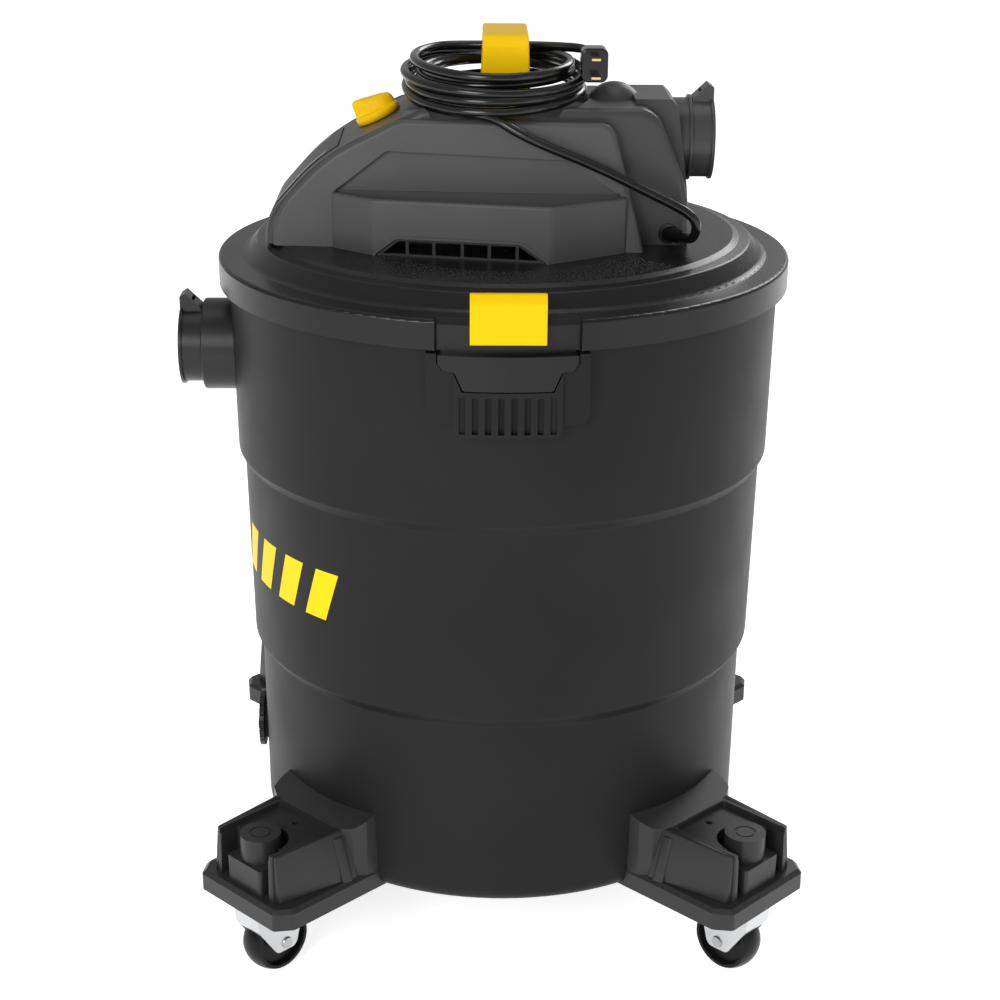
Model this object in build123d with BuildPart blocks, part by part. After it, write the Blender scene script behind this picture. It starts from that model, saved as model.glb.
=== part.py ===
from build123d import *
import math
import os

# Shop vacuum, millimetres.  Origin on the floor under the drum's axis, +Z up.
# -X is the front (hose inlet, switch), +X the rear (blower outlet),
# -Y the machine's left side and +Y its right side.

# ---- driving dimensions -------------------------------------------------
WALL = 3.0                 # moulded wall of drum, lid and head
FIT = 0.05                 # radial clearance of a pin or shaft in its hole

TANK_BOTTOM_Z = 62.0
TANK_TOP_Z = 503.3
BASE_R = 186.5             # drum radius at its foot
GROOVE_R = 188.0           # drum radius under the lower step
MIDDLE_R = 193.2           # drum radius over the lower step
WAIST_R = 196.0            # drum radius under the upper step
SHOULDER_R = 200.6         # drum radius over the upper step
MOUTH_R = 202.6            # drum radius at the mouth
LOWER_STEP_Z = 208.0
UPPER_STEP_Z = 357.0
STEP_RISE = 7.0

LID_R = 210.0
RIM_BOTTOM_Z = 489.4
RIM_TOP_Z = 510.0
PLATFORM_Z = 525.0         # flat top of the lid, where the head stands
LID_OPENING_R = 66.0
NOTCH_R = 206.7            # rim radius where it is set back at a latch
NOTCH_HALF = 48.0

GRIP_R = 214.0             # face of the drum's lifting grips
GRIP_TOP_Z = 487.6
TONGUE_BOTTOM_Z = 464.0

LATCH_HALF = 25.0
LATCH_AXIS_R = 200.0
LATCH_AXIS_Z = 517.2
LATCH_FACE_R = 212.5
LATCH_BACK_R = 207.2
LATCH_FOOT_Z = 495.0

PORT_R = 28.5              # outside of both hose fittings
PORT_BORE_R = 25.5
INLET_Z = 435.0
INLET_TIP_X = -241.0
BLOWER_Z = 592.0
BLOWER_TIP_X = 150.5
ELBOW_R = 34.0             # bend of the deflector behind the inlet

DRAIN_Z = 121.0
DRAIN_R = 22.5

HOUSING_HALF = 56.0        # half width of the motor housing
DECK_Z = 621.0
WELL_Z = 614.5             # floor of the cord well in the deck

FLANGE_R = 274.0           # outer edge of a corner foot
FLANGE_TOP_Z = 78.0
POD_DECK_Z = 115.0
PEG_AXIS_R = 250.0
PEG_R = 15.0
PEG_TOP_Z = 117.0
CASTER_AXIS_R = 252.0
CASTER_TRAIL = 12.0
WHEEL_R = 25.0
WHEEL_HALF = 10.0
CORNERS = {"front_left": 225, "front_right": 135, "rear_left": 315, "rear_right": 45}

SHAFT_R = 5.0
IMPELLER_R = 54.0
STATOR_R = 42.0
CAGE_R = 67.0
CAGE_BOTTOM_Z = 342.0
FLOAT_R = 24.0

CORD_D = 6.8
HANDLE_TOP_Z = 669.0

os.makedirs("parts", exist_ok=True)


# ---- helpers ------------------------------------------------------------
def save(piece, label):
    """Label a finished piece and write its file."""
    piece.label = label
    export_step(piece, f"parts/{label}.step")


def radial_plane(angle, radius, z=0.0):
    """Level plane at this bearing and radius: local X outwards, local Y along the tangent."""
    a = math.radians(angle)
    return Plane(origin=(radius * math.cos(a), radius * math.sin(a), z),
                 x_dir=(math.cos(a), math.sin(a), 0), z_dir=(0, 0, 1))


def section_plane(angle, radius=0.0, z=0.0):
    """Upright plane through the drum's axis: local X outwards, local Y up."""
    a = math.radians(angle)
    return Plane(origin=(radius * math.cos(a), radius * math.sin(a), z),
                 x_dir=(math.cos(a), math.sin(a), 0), z_dir=(math.sin(a), -math.cos(a), 0))


def both_halves(points):
    """Mirror a half outline about local X = 0 and join the two halves."""
    return list(points) + [(-x, z) for x, z in reversed(points)]


def ring(inner, outer, bottom, top):
    """Plain ring about the drum's axis."""
    with BuildPart() as band:
        with BuildSketch(Plane.XY.offset(bottom)):
            Circle(outer)
            if inner > 0:
                Circle(inner, mode=Mode.SUBTRACT)
        extrude(amount=top - bottom)
    return band.part


def side_plate(outline, radii, inner, outer):
    """Plate on the left side with this outline in XZ, curved between two radii."""
    with BuildPart() as plate:
        with BuildSketch(Plane.XZ.offset(180)):
            with BuildLine():
                FilletPolyline(*outline, radius=radii, close=True)
            make_face()
        extrude(amount=50)
        add(ring(inner, outer, 400, 540), mode=Mode.INTERSECT)
    return plate.part


# ---- drum ---------------------------------------------------------------

def tank_profile(inset, bottom):
    """Half outline of the drum, moved in by the inset."""
    return [
        (0, bottom),
        (BASE_R - inset, bottom),
        (GROOVE_R - inset, LOWER_STEP_Z),
        (MIDDLE_R - inset, LOWER_STEP_Z + STEP_RISE),
        (WAIST_R - inset, UPPER_STEP_Z),
        (SHOULDER_R - inset, UPPER_STEP_Z + STEP_RISE),
        (MOUTH_R - inset, RIM_BOTTOM_Z),
        (MOUTH_R - inset, TANK_TOP_Z),
        (0, TANK_TOP_Z),
    ]


def tank_solid(inset, bottom):
    """Solid of revolution of the drum's outline."""
    with BuildPart() as body:
        with BuildSketch(Plane.XZ):
            with BuildLine():
                FilletPolyline(*tank_profile(inset, bottom), radius=[0, 11, 3, 3, 3, 3, 0, 0, 0],
                               close=True)
            make_face()
        revolve(axis=Axis.Z)
    return body.part


TANK_OUTSIDE = tank_solid(0, TANK_BOTTOM_Z)
TONGUE_HALF = [(29.5, TONGUE_BOTTOM_Z), (35.0, 476.5), (43.0, 477.5), (46.0, 482.0)]
POCKET_HALF = [(30.3, 463.2), (35.6, 475.7), (43.5, 476.7), (46.9, 481.7)]

with BuildPart() as grips:
    add(side_plate(both_halves([(50, 439.5), (54, 445), (54, GRIP_TOP_Z)]),
                   [2, 3, 0, 0, 3, 2], MOUTH_R - 3, GRIP_R - 2.6))
    add(side_plate(both_halves([(33.5, 432), (36, 436), (36, GRIP_TOP_Z)]),
                   [2, 2, 0, 0, 2, 2], MOUTH_R - 3, GRIP_R))
    with BuildSketch(Plane.XZ.offset(GRIP_R - 4.2)):
        with Locations((0, 447)):
            with GridLocations(8.6, 1, 8, 1):
                Rectangle(4.2, 25)
    extrude(amount=5, mode=Mode.SUBTRACT)
    add(side_plate(both_halves(POCKET_HALF + [(46.9, 495)]), 0.4, MOUTH_R + 0.5, GRIP_R + 4),
        mode=Mode.SUBTRACT)
    mirror(about=Plane.XZ)

with BuildPart() as latch_catches:
    with BuildSketch(Plane.XZ.offset(MOUTH_R - 1.9)):
        with Locations((0, 497.9)):
            Rectangle(18, 6.4)
    extrude(amount=5)
    mirror(about=Plane.XZ)

with BuildPart() as tank:
    add(TANK_OUTSIDE)
    add(grips.part)
    add(tank_solid(WALL, TANK_BOTTOM_Z + WALL), mode=Mode.SUBTRACT)
    add(latch_catches.part, mode=Mode.SUBTRACT)
    with BuildSketch(Plane.YZ.offset(-185)):
        with Locations((0, INLET_Z)):
            Circle(PORT_R + 1.5)
    extrude(amount=-25, mode=Mode.SUBTRACT)
    with BuildSketch(Plane.YZ.offset(-BASE_R - 0.5)):
        with Locations((0, DRAIN_Z)):
            Circle(17)
    extrude(amount=8)
    with BuildSketch(Plane.YZ.offset(-200)):
        with Locations((0, DRAIN_Z)):
            Circle(12.5)
    extrude(amount=30, mode=Mode.SUBTRACT)
save(tank.part, "tank")


# ---- hose fittings ------------------------------------------------------
def port_catch(tip_x, towards, top_z):
    """Wedge-shaped catch on top of a hose fitting, sloping back from its tip."""
    points = [(tip_x, -4), (tip_x, 9.5), (tip_x - 4 * towards, 12), (tip_x - 15 * towards, 1.5),
              (tip_x - 17 * towards, -4)]
    with BuildPart() as catch:
        with BuildSketch(Plane.XZ):
            with BuildLine():
                Polyline(*[(x, top_z + z) for x, z in points], close=True)
            make_face()
        extrude(amount=9, both=True)
        with BuildSketch(Plane.XZ):
            with Locations((tip_x - 9.5 * towards, top_z + 6.8)):
                Rectangle(9, 2.4, rotation=-40 * towards)
        extrude(amount=6, both=True, mode=Mode.SUBTRACT)
    return catch.part


with BuildPart() as inlet_port:
    with BuildSketch(Plane.YZ.offset(-170)):
        with Locations((0, INLET_Z)):
            Circle(PORT_R + 5.8)
    extrude(amount=-54)
    fillet(inlet_port.edges().filter_by(GeomType.CIRCLE).sort_by(Axis.X)[0], 1.5)
    add(TANK_OUTSIDE, mode=Mode.SUBTRACT)
    with BuildSketch(Plane.YZ.offset(-220)):
        with Locations((0, INLET_Z)):
            Circle(PORT_R)
    extrude(amount=INLET_TIP_X + 220)
    with BuildSketch(Plane.YZ.offset(INLET_TIP_X)):
        with Locations((0, INLET_Z)):
            Circle(PORT_R + 1.8)
    extrude(amount=2.2)
    with BuildSketch(Plane.YZ.offset(-205)):
        with Locations((0, INLET_Z)):
            Circle(PORT_R + 1.3)
    extrude(amount=17)
    add(port_catch(INLET_TIP_X, -1, INLET_Z + PORT_R))
    with BuildSketch(Plane.YZ.offset(-180)):
        with Locations((0, INLET_Z)):
            Circle(PORT_BORE_R)
    extrude(amount=-70, mode=Mode.SUBTRACT)
save(inlet_port.part, "inlet_port")

with BuildPart() as inlet_deflector:
    with BuildSketch(Plane.YZ.offset(-188)):
        with Locations((0, INLET_Z)):
            Circle(PORT_R + 1.3)
            Circle(PORT_BORE_R, mode=Mode.SUBTRACT)
    revolve(axis=Axis((-188, ELBOW_R, 0), (0, 0, 1)), revolution_arc=90)
save(inlet_deflector.part, "inlet_deflector")

# ---- drain --------------------------------------------------------------
SEAT_X = -BASE_R - 0.5

with BuildPart() as drain_cap:
    with BuildSketch(Plane.YZ.offset(SEAT_X - 2.2)):
        with Locations((0, DRAIN_Z)):
            Circle(DRAIN_R)
            with PolarLocations(DRAIN_R, 24):
                Circle(1.0, mode=Mode.SUBTRACT)
    extrude(amount=-3.8)
    with BuildSketch(Plane.YZ.offset(SEAT_X - 6.0)):
        with Locations((0, DRAIN_Z)):
            SlotOverall(30, 7)
    extrude(amount=-1.2)
    with BuildSketch(Plane.YZ.offset(SEAT_X - 2.2)):
        with Locations((0, DRAIN_Z)):
            Circle(12.1)
            Circle(9.4, mode=Mode.SUBTRACT)
    extrude(amount=14)
save(drain_cap.part, "drain_cap")

with BuildPart() as drain_seal:
    with BuildSketch(Plane.YZ.offset(SEAT_X - 2.2)):
        with Locations((0, DRAIN_Z)):
            Circle(16.5)
            Circle(12.1, mode=Mode.SUBTRACT)
    extrude(amount=1.8)
save(drain_seal.part, "drain_seal")

# ---- corner feet and casters --------------------------------------------
FLANGE_OUTLINE = [(150, -50), (262, -50), (FLANGE_R, -41), (FLANGE_R, 41), (262, 50), (150, 50)]
POD_OUTLINE = [(150, -50), (190, -49), (200, -46), (207, -33), (266, -31.5), (266, 31.5),
               (207, 33), (200, 46), (190, 49), (150, 50)]
ROOF_OUTLINE = [(140, 137), (206, POD_DECK_Z), (300, POD_DECK_Z), (300, 160), (140, 160)]


def caster_pod(angle):
    """Corner foot with a flange, walls, an accessory peg and a caster socket."""
    level = radial_plane(angle, 0)
    with BuildPart() as pod:
        with BuildSketch(level.offset(TANK_BOTTOM_Z)):
            with BuildLine():
                FilletPolyline(*FLANGE_OUTLINE, radius=[0, 5, 4, 4, 5, 0], close=True)
            make_face()
        extrude(amount=FLANGE_TOP_Z - TANK_BOTTOM_Z)
        chamfer(pod.faces().sort_by(Axis.Z)[-1].edges(), 3.0)
        with BuildSketch(level.offset(FLANGE_TOP_Z - 4)):
            with BuildLine():
                FilletPolyline(*POD_OUTLINE, radius=[0, 4, 4, 4, 2, 2, 4, 4, 4, 0], close=True)
            make_face()
        extrude(amount=56, taper=1.0)
        with BuildSketch(section_plane(angle)):
            with BuildLine():
                Polyline(*ROOF_OUTLINE, close=True)
            make_face()
        extrude(amount=60, both=True, mode=Mode.SUBTRACT)
        with BuildSketch(level.offset(POD_DECK_Z - 4)):
            with BuildLine():
                FilletPolyline((208, -28), (290, -28), (290, 28), (208, 28), radius=[3, 0, 0, 3],
                               close=True)
            make_face()
        extrude(amount=20, mode=Mode.SUBTRACT)
        with BuildSketch(radial_plane(angle, PEG_AXIS_R, FLANGE_TOP_Z)):
            Circle(20.5)
            with Locations((20, 0)):
                Rectangle(40, 54)
        extrude(amount=60, mode=Mode.SUBTRACT)
        with BuildSketch(radial_plane(angle, 251.5, FLANGE_TOP_Z - 1)):
            RectangleRounded(31, 38, 3)
        extrude(amount=21)
        with BuildSketch(radial_plane(angle, PEG_AXIS_R, 96)):
            Circle(PEG_R)
        extrude(amount=PEG_TOP_Z - 96)
        fillet(pod.faces().filter_by(Axis.Z).sort_by(Axis.Z)[-1].edges(), 1.2)
        with BuildSketch(radial_plane(angle, PEG_AXIS_R, PEG_TOP_Z)):
            Circle(8.0)
            Circle(6.6, mode=Mode.SUBTRACT)
        extrude(amount=-0.6, mode=Mode.SUBTRACT)
        with BuildSketch(radial_plane(angle, 217, TANK_BOTTOM_Z)):
            Circle(2.5)
        extrude(amount=60, mode=Mode.SUBTRACT)
        with BuildSketch(radial_plane(angle, 217, TANK_BOTTOM_Z)):
            Circle(5.0)
        extrude(amount=14, mode=Mode.SUBTRACT)
        with BuildSketch(radial_plane(angle, 211, TANK_BOTTOM_Z)):
            with GridLocations(1, 40, 1, 2):
                Rectangle(28, 16)
        extrude(amount=44, mode=Mode.SUBTRACT)
        with BuildSketch(radial_plane(angle, CASTER_AXIS_R, TANK_BOTTOM_Z)):
            Circle(5.5 + FIT)
        extrude(amount=26, mode=Mode.SUBTRACT)
        add(TANK_OUTSIDE, mode=Mode.SUBTRACT)
    return pod.part


def caster_fork(angle):
    """Zinc fork with its swivel stem, hooded over the wheel."""
    side = section_plane(angle, CASTER_AXIS_R - CASTER_TRAIL, WHEEL_R)
    with BuildPart() as fork:
        with BuildSketch(radial_plane(angle, CASTER_AXIS_R, 56)):
            Circle(15)
        extrude(amount=5)
        with BuildSketch(radial_plane(angle, CASTER_AXIS_R, 60)):
            Circle(5.5)
        extrude(amount=26)
        with BuildSketch(side):
            with BuildLine():
                FilletPolyline((-9, -6), (9, -6), (25, 18), (27, 32.5), (-4, 32.5), (-15, 16),
                               radius=[6, 6, 8, 2, 2, 8], close=True)
            make_face()
        extrude(amount=WHEEL_HALF + 3.6, both=True)
        with BuildSketch(side):
            Circle(WHEEL_R + 1.6)
        extrude(amount=WHEEL_HALF + 1.6, both=True, mode=Mode.SUBTRACT)
        with BuildSketch(side):
            Circle(3.0)
        extrude(amount=WHEEL_HALF + 5, both=True, mode=Mode.SUBTRACT)
    return fork.part


def caster_wheel(angle):
    """Wheel with a crowned tread, dished sides and a hub bore."""
    hub = radial_plane(angle, CASTER_AXIS_R - CASTER_TRAIL, WHEEL_R)
    bore = 3.0 + FIT
    with BuildPart() as wheel:
        with BuildSketch(hub):
            with BuildLine():
                Polyline((bore, 10.8), (bore, -10.8), (8, -10.8), (9, -6), (18.5, -6),
                         (20, -WHEEL_HALF), (22.5, -WHEEL_HALF))
                ThreePointArc((22.5, -WHEEL_HALF), (WHEEL_R, 0), (22.5, WHEEL_HALF))
                Polyline((22.5, WHEEL_HALF), (20, WHEEL_HALF), (18.5, 6), (9, 6), (8, 10.8),
                         (bore, 10.8))
            make_face()
        revolve(axis=Axis(hub.origin, hub.y_dir))
    return wheel.part


def caster_axle(angle):
    """Riveted axle pin through fork and wheel."""
    side = section_plane(angle, CASTER_AXIS_R - CASTER_TRAIL, WHEEL_R)
    with BuildPart() as axle:
        with BuildSketch(side):
            Circle(3.0)
        extrude(amount=WHEEL_HALF + 3.6, both=True)
        with BuildSketch(side.offset(WHEEL_HALF + 3.6)):
            Circle(4.6)
        extrude(amount=1.4, taper=20)
        with BuildSketch(side.offset(-WHEEL_HALF - 3.6)):
            Circle(4.6)
        extrude(amount=-1.4, taper=20)
    return axle.part


for corner, bearing in CORNERS.items():
    save(caster_pod(bearing), f"caster_pod_{corner}")
    save(caster_fork(bearing), f"caster_fork_{corner}")
    save(caster_wheel(bearing), f"caster_wheel_{corner}")
    save(caster_axle(bearing), f"caster_axle_{corner}")

with BuildPart() as pod_screws:
    for bearing in CORNERS.values():
        with BuildSketch(radial_plane(bearing, 217, 73)):
            Circle(4.4)
        extrude(amount=3.0)
        with BuildSketch(radial_plane(bearing, 217, 76)):
            Circle(2.4)
        extrude(amount=30)
save(pod_screws.part, "pod_screws")

# ---- lid ----------------------------------------------------------------
LID_OUTLINE = [
    (LID_OPENING_R, PLATFORM_Z - WALL), (167.0, PLATFORM_Z - WALL), (171.5, 519.6), (179.0, 518.6),
    (188.5, RIM_TOP_Z - WALL), (LID_R - WALL, RIM_TOP_Z - WALL), (LID_R - WALL, RIM_BOTTOM_Z),
    (LID_R, RIM_BOTTOM_Z), (LID_R, RIM_TOP_Z), (191.0, RIM_TOP_Z + 0.6), (181.0, 521.8),
    (173.0, 523.0), (168.5, PLATFORM_Z), (LID_OPENING_R, PLATFORM_Z),
]
LID_RADII = [0, 2, 2, 3, 3, 0, 0, 0, 2.5, 6, 2.5, 1.5, 1.5, 0]
HOUSING_SCREWS = [(-138, -32), (-138, 32), (-84, -44), (-84, 44), (94, -42), (94, 42)]
CAGE_SCREWS = [(76, 0), (0, 76), (-76, 0), (0, -76)]

with BuildPart() as tongues:
    add(side_plate(both_halves(TONGUE_HALF + [(46, GRIP_TOP_Z)]),
                   [2.5, 3, 3, 2, 0.5, 0.5, 2, 3, 3, 2.5], NOTCH_R - 2, GRIP_R))
    add(side_plate(both_halves([(44, 480), (44, 499)]), 0.4, NOTCH_R - WALL, NOTCH_R))
    mirror(about=Plane.XZ)

with BuildPart() as rim_notches:
    with BuildSketch(Plane.XZ):
        with BuildLine():
            Polyline((NOTCH_R, 480), (NOTCH_R, RIM_TOP_Z - 3.6), (NOTCH_R - 3.6, RIM_TOP_Z),
                     (NOTCH_R - 3.6, RIM_TOP_Z + 6), (LID_R + 6, RIM_TOP_Z + 6), (LID_R + 6, 480),
                     close=True)
        make_face()
    revolve(axis=Axis.Z)
    with BuildSketch(Plane.XY.offset(470)):
        Rectangle(2 * NOTCH_HALF, 500)
    extrude(amount=60, mode=Mode.INTERSECT)

with BuildPart() as rim_backing:
    with BuildSketch(Plane.XY.offset(RIM_BOTTOM_Z)):
        Circle(LID_R - 1)
        Circle(NOTCH_R - WALL, mode=Mode.SUBTRACT)
    extrude(amount=RIM_TOP_Z - RIM_BOTTOM_Z - 1.5)
    with BuildSketch(Plane.XY.offset(470)):
        Rectangle(2 * NOTCH_HALF + 6, 500)
    extrude(amount=60, mode=Mode.INTERSECT)

with BuildPart() as latch_lugs:
    with BuildSketch(Plane.YZ.offset(-9)):
        with BuildLine():
            Polyline((-LATCH_AXIS_R - 4.6, LATCH_AXIS_Z), (-LATCH_AXIS_R - 5.4, RIM_TOP_Z - 1),
                     (-LATCH_AXIS_R + 5.4, RIM_TOP_Z - 1), (-LATCH_AXIS_R + 4.6, LATCH_AXIS_Z))
            ThreePointArc((-LATCH_AXIS_R + 4.6, LATCH_AXIS_Z), (-LATCH_AXIS_R, LATCH_AXIS_Z + 4.6),
                          (-LATCH_AXIS_R - 4.6, LATCH_AXIS_Z))
        make_face()
    extrude(amount=18)
    with BuildSketch(Plane.YZ.offset(-12)):
        with Locations((-LATCH_AXIS_R, LATCH_AXIS_Z)):
            Circle(2.0)
    extrude(amount=24, mode=Mode.SUBTRACT)
    mirror(about=Plane.XZ)

with BuildPart() as lid:
    with BuildSketch(Plane.XZ):
        with BuildLine():
            FilletPolyline(*LID_OUTLINE, radius=LID_RADII, close=True)
        make_face()
    revolve(axis=Axis.Z)
    add(rim_backing.part)
    add(rim_notches.part, mode=Mode.SUBTRACT)
    add(tongues.part)
    add(latch_lugs.part)
    with BuildSketch(Plane.XZ):
        with Locations((0, 498.0)):
            Rectangle(17, 7.6)
    extrude(amount=LID_R + 5, both=True, mode=Mode.SUBTRACT)
    with BuildSketch(Plane.XY.offset(PLATFORM_Z - 8)):
        with Locations(*HOUSING_SCREWS):
            Circle(2.3)
        with Locations(*CAGE_SCREWS):
            Circle(2.3)
    extrude(amount=12, mode=Mode.SUBTRACT)
save(lid.part, "lid")

with BuildPart() as lid_gasket:
    with BuildSketch(Plane.XZ):
        with BuildLine():
            FilletPolyline((198.6, TANK_TOP_Z + 0.3), (203.2, TANK_TOP_Z + 0.3),
                           (203.2, RIM_TOP_Z - WALL), (198.6, RIM_TOP_Z - WALL),
                           radius=[1, 1, 0, 0], close=True)
        make_face()
    revolve(axis=Axis.Z)
save(lid_gasket.part, "lid_gasket")

# ---- latches ------------------------------------------------------------
LATCH_OUTLINE = [
    (LATCH_BACK_R, LATCH_FOOT_Z), (LATCH_FACE_R, LATCH_FOOT_Z), (LATCH_FACE_R, 523), (209, 529),
    (199.5, 527), (194.2, 520), (194.2, 516), (197, 511.8), (LATCH_BACK_R, 511.8),
]

with BuildPart() as latch_right:
    with BuildSketch(Plane.YZ.offset(-LATCH_HALF)):
        with BuildLine():
            FilletPolyline(*LATCH_OUTLINE, radius=[0.8, 1.5, 5, 3, 3, 1.5, 2, 2, 1], close=True)
        make_face()
    extrude(amount=2 * LATCH_HALF)
    fillet(latch_right.faces().sort_by(Axis.X)[0].edges(), 0.6)
    fillet(latch_right.faces().sort_by(Axis.X)[-1].edges(), 0.6)
    with BuildSketch(Plane.YZ.offset(-9.8)):
        with Locations((LATCH_AXIS_R, LATCH_AXIS_Z)):
            Circle(6.4)
        with Locations((LATCH_AXIS_R - 1, LATCH_AXIS_Z - 6)):
            Rectangle(14.5, 12)
    extrude(amount=19.6, mode=Mode.SUBTRACT)
    with BuildSketch(Plane.YZ.offset(-26)):
        with Locations((LATCH_AXIS_R, LATCH_AXIS_Z)):
            Circle(2.0 + FIT)
    extrude(amount=52, mode=Mode.SUBTRACT)
    with BuildSketch(Plane.YZ.offset(-7)):
        with BuildLine():
            Polyline((LATCH_BACK_R + 1, 496), (MOUTH_R - 1.2, 497.6), (MOUTH_R - 1.2, 499.6),
                     (LATCH_BACK_R + 1, 500.4), close=True)
        make_face()
    extrude(amount=14)
save(latch_right.part, "latch_right")
save(mirror(latch_right.part, about=Plane.XZ), "latch_left")

with BuildPart() as latch_pins:
    with BuildSketch(Plane.YZ.offset(-21)):
        with Locations((-LATCH_AXIS_R, LATCH_AXIS_Z), (LATCH_AXIS_R, LATCH_AXIS_Z)):
            Circle(2.0)
    extrude(amount=42)
save(latch_pins.part, "latch_pins")

# ---- motor housing ------------------------------------------------------
SLOPE_END = (-130.6, 586.5)
FACET_END = (-58.2, DECK_Z)
CAVITY_TOP_Z = WELL_Z - WALL
HOUSING_OUTLINE = [(-171, PLATFORM_Z), (-170.8, 541.8), SLOPE_END, FACET_END, (105.6, DECK_Z),
                   (130.9, 561.5), (131, PLATFORM_Z)]
CAVITY_OUTLINE = [(-168, PLATFORM_Z - 5), (-167.8, 540.7), (-128.8, 584.0), (-71.2, CAVITY_TOP_Z),
                  (106.4, CAVITY_TOP_Z), (128, 560.6), (128, PLATFORM_Z - 5)]

KNOB_X = -90.5
FACET_SLOPE = (FACET_END[1] - SLOPE_END[1]) / (FACET_END[0] - SLOPE_END[0])
KNOB_PLANE = Plane(origin=(KNOB_X, 0, SLOPE_END[1] + (KNOB_X - SLOPE_END[0]) * FACET_SLOPE),
                   x_dir=(0, 1, 0), z_dir=(-FACET_SLOPE, 0, 1))
DOME_X = 79.0
DOME_TOP_Z = DECK_Z + 11
DOME_R = (19.5 ** 2 + 12 ** 2) / 24
DOME_HALF_ANGLE = math.degrees(math.asin(19.5 / DOME_R))
RELIEF_WALL = (116, -HOUSING_HALF, 533.5)

with BuildPart() as head_housing:
    with BuildSketch(Plane.XZ.offset(-HOUSING_HALF)):
        with BuildLine():
            FilletPolyline(*HOUSING_OUTLINE, radius=[0, 40, 140, 14, 20, 100, 0], close=True)
        make_face()
    extrude(amount=2 * HOUSING_HALF)
    sides = head_housing.faces().filter_by(Axis.Y)
    fillet(sides.edges().filter_by(lambda e: e.center().Z > PLATFORM_Z + 2), 6.0)
    with BuildSketch(Plane.XZ.offset(-HOUSING_HALF + WALL)):
        with BuildLine():
            FilletPolyline(*CAVITY_OUTLINE, radius=[0, 37, 137, 5, 12, 97, 0], close=True)
        make_face()
    extrude(amount=2 * (HOUSING_HALF - WALL), mode=Mode.SUBTRACT)
    with BuildSketch(Plane.XY.offset(WELL_Z)):
        with Locations((-8, 0)):
            Ellipse(69, 74)
    extrude(amount=20, mode=Mode.SUBTRACT)
    with BuildSketch(Plane.XZ.offset(-33)):
        with BuildLine():
            FilletPolyline((92, 624.5), (117.5, 624.5), (122.5, 619.5), (130.8, 562), (132, 548),
                           (110, 548), (92, CAVITY_TOP_Z), radius=[0, 2, 3, 0, 2, 0, 0], close=True)
        make_face()
    extrude(amount=66)
    with BuildSketch(Plane.XZ):
        with BuildLine():
            Polyline((DOME_X, DOME_TOP_Z), (DOME_X, DECK_Z - 1), (DOME_X + 19.5, DECK_Z - 1))
            CenterArc((DOME_X, DOME_TOP_Z - DOME_R), DOME_R, 90 - DOME_HALF_ANGLE, DOME_HALF_ANGLE)
        make_face()
    revolve(axis=Axis((DOME_X, 0, 0), (0, 0, 1)))
    with BuildSketch(Plane.YZ.offset(96)):
        with Locations((0, BLOWER_Z)):
            Circle(PORT_R + 0.1)
    extrude(amount=50, mode=Mode.SUBTRACT)
    with BuildSketch(Plane.XY.offset(PLATFORM_Z)):
        with Locations(*HOUSING_SCREWS):
            Circle(5.0)
        for x, y in HOUSING_SCREWS:
            with Locations((x, math.copysign((abs(y) + HOUSING_HALF - 1) / 2, y))):
                Rectangle(3, HOUSING_HALF - 1 - abs(y))
    extrude(amount=14)
    with BuildSketch(Plane.XY.offset(PLATFORM_Z)):
        with Locations(*HOUSING_SCREWS):
            Circle(2.0)
    extrude(amount=12, mode=Mode.SUBTRACT)
    with BuildSketch(Plane.XZ.offset(-HOUSING_HALF - 1)):
        with Locations((-30, 537)):
            with GridLocations(13, 1, 7, 1):
                SlotOverall(15, 5, rotation=90)
    extrude(amount=2 * HOUSING_HALF + 2, mode=Mode.SUBTRACT)
    with BuildSketch(Plane.XY.offset(CAVITY_TOP_Z - 1)):
        with GridLocations(1, 65, 1, 2):
            Circle(2.2)
    extrude(amount=6, mode=Mode.SUBTRACT)
    with BuildSketch(KNOB_PLANE.offset(2)):
        Circle(4.0)
    extrude(amount=-10, mode=Mode.SUBTRACT)
    with BuildSketch(Plane.XZ.offset(HOUSING_HALF - WALL - 1)):
        with Locations((RELIEF_WALL[0], RELIEF_WALL[2])):
            Circle(4.4)
    extrude(amount=6, mode=Mode.SUBTRACT)
save(head_housing.part, "head_housing")
print("knob axis at", tuple(KNOB_PLANE.origin), "along", tuple(KNOB_PLANE.z_dir))

with BuildPart() as power_knob:
    with BuildSketch(Plane(origin=KNOB_PLANE.origin, x_dir=KNOB_PLANE.x_dir,
                           z_dir=KNOB_PLANE.x_dir.cross(KNOB_PLANE.z_dir))):
        with BuildLine():
            Polyline((0, 15.6), (0, 0.4), (16.6, 0.4), (16.4, 4.0))
            ThreePointArc((16.4, 4.0), (11.5, 12.4), (0, 15.6))
        make_face()
    revolve(axis=Axis(KNOB_PLANE.origin, KNOB_PLANE.z_dir))
    with BuildSketch(KNOB_PLANE.offset(5)):
        RectangleRounded(28.5, 5.2, 2.4)
    extrude(amount=12.2)
    with BuildSketch(KNOB_PLANE.offset(1)):
        Circle(3.0)
    extrude(amount=-15)
save(power_knob.part, "power_knob")

with BuildPart() as switch_body:
    with BuildSketch(KNOB_PLANE.offset(-8.5)):
        RectangleRounded(28, 24, 2)
    extrude(amount=-18)
    with BuildSketch(KNOB_PLANE.offset(-26)):
        with GridLocations(14, 10, 2, 2):
            Rectangle(6.3, 0.8)
    extrude(amount=-8)
    with BuildSketch(KNOB_PLANE.offset(-8)):
        Circle(3.0 + FIT)
    extrude(amount=-9, mode=Mode.SUBTRACT)
save(switch_body.part, "switch_body")

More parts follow.
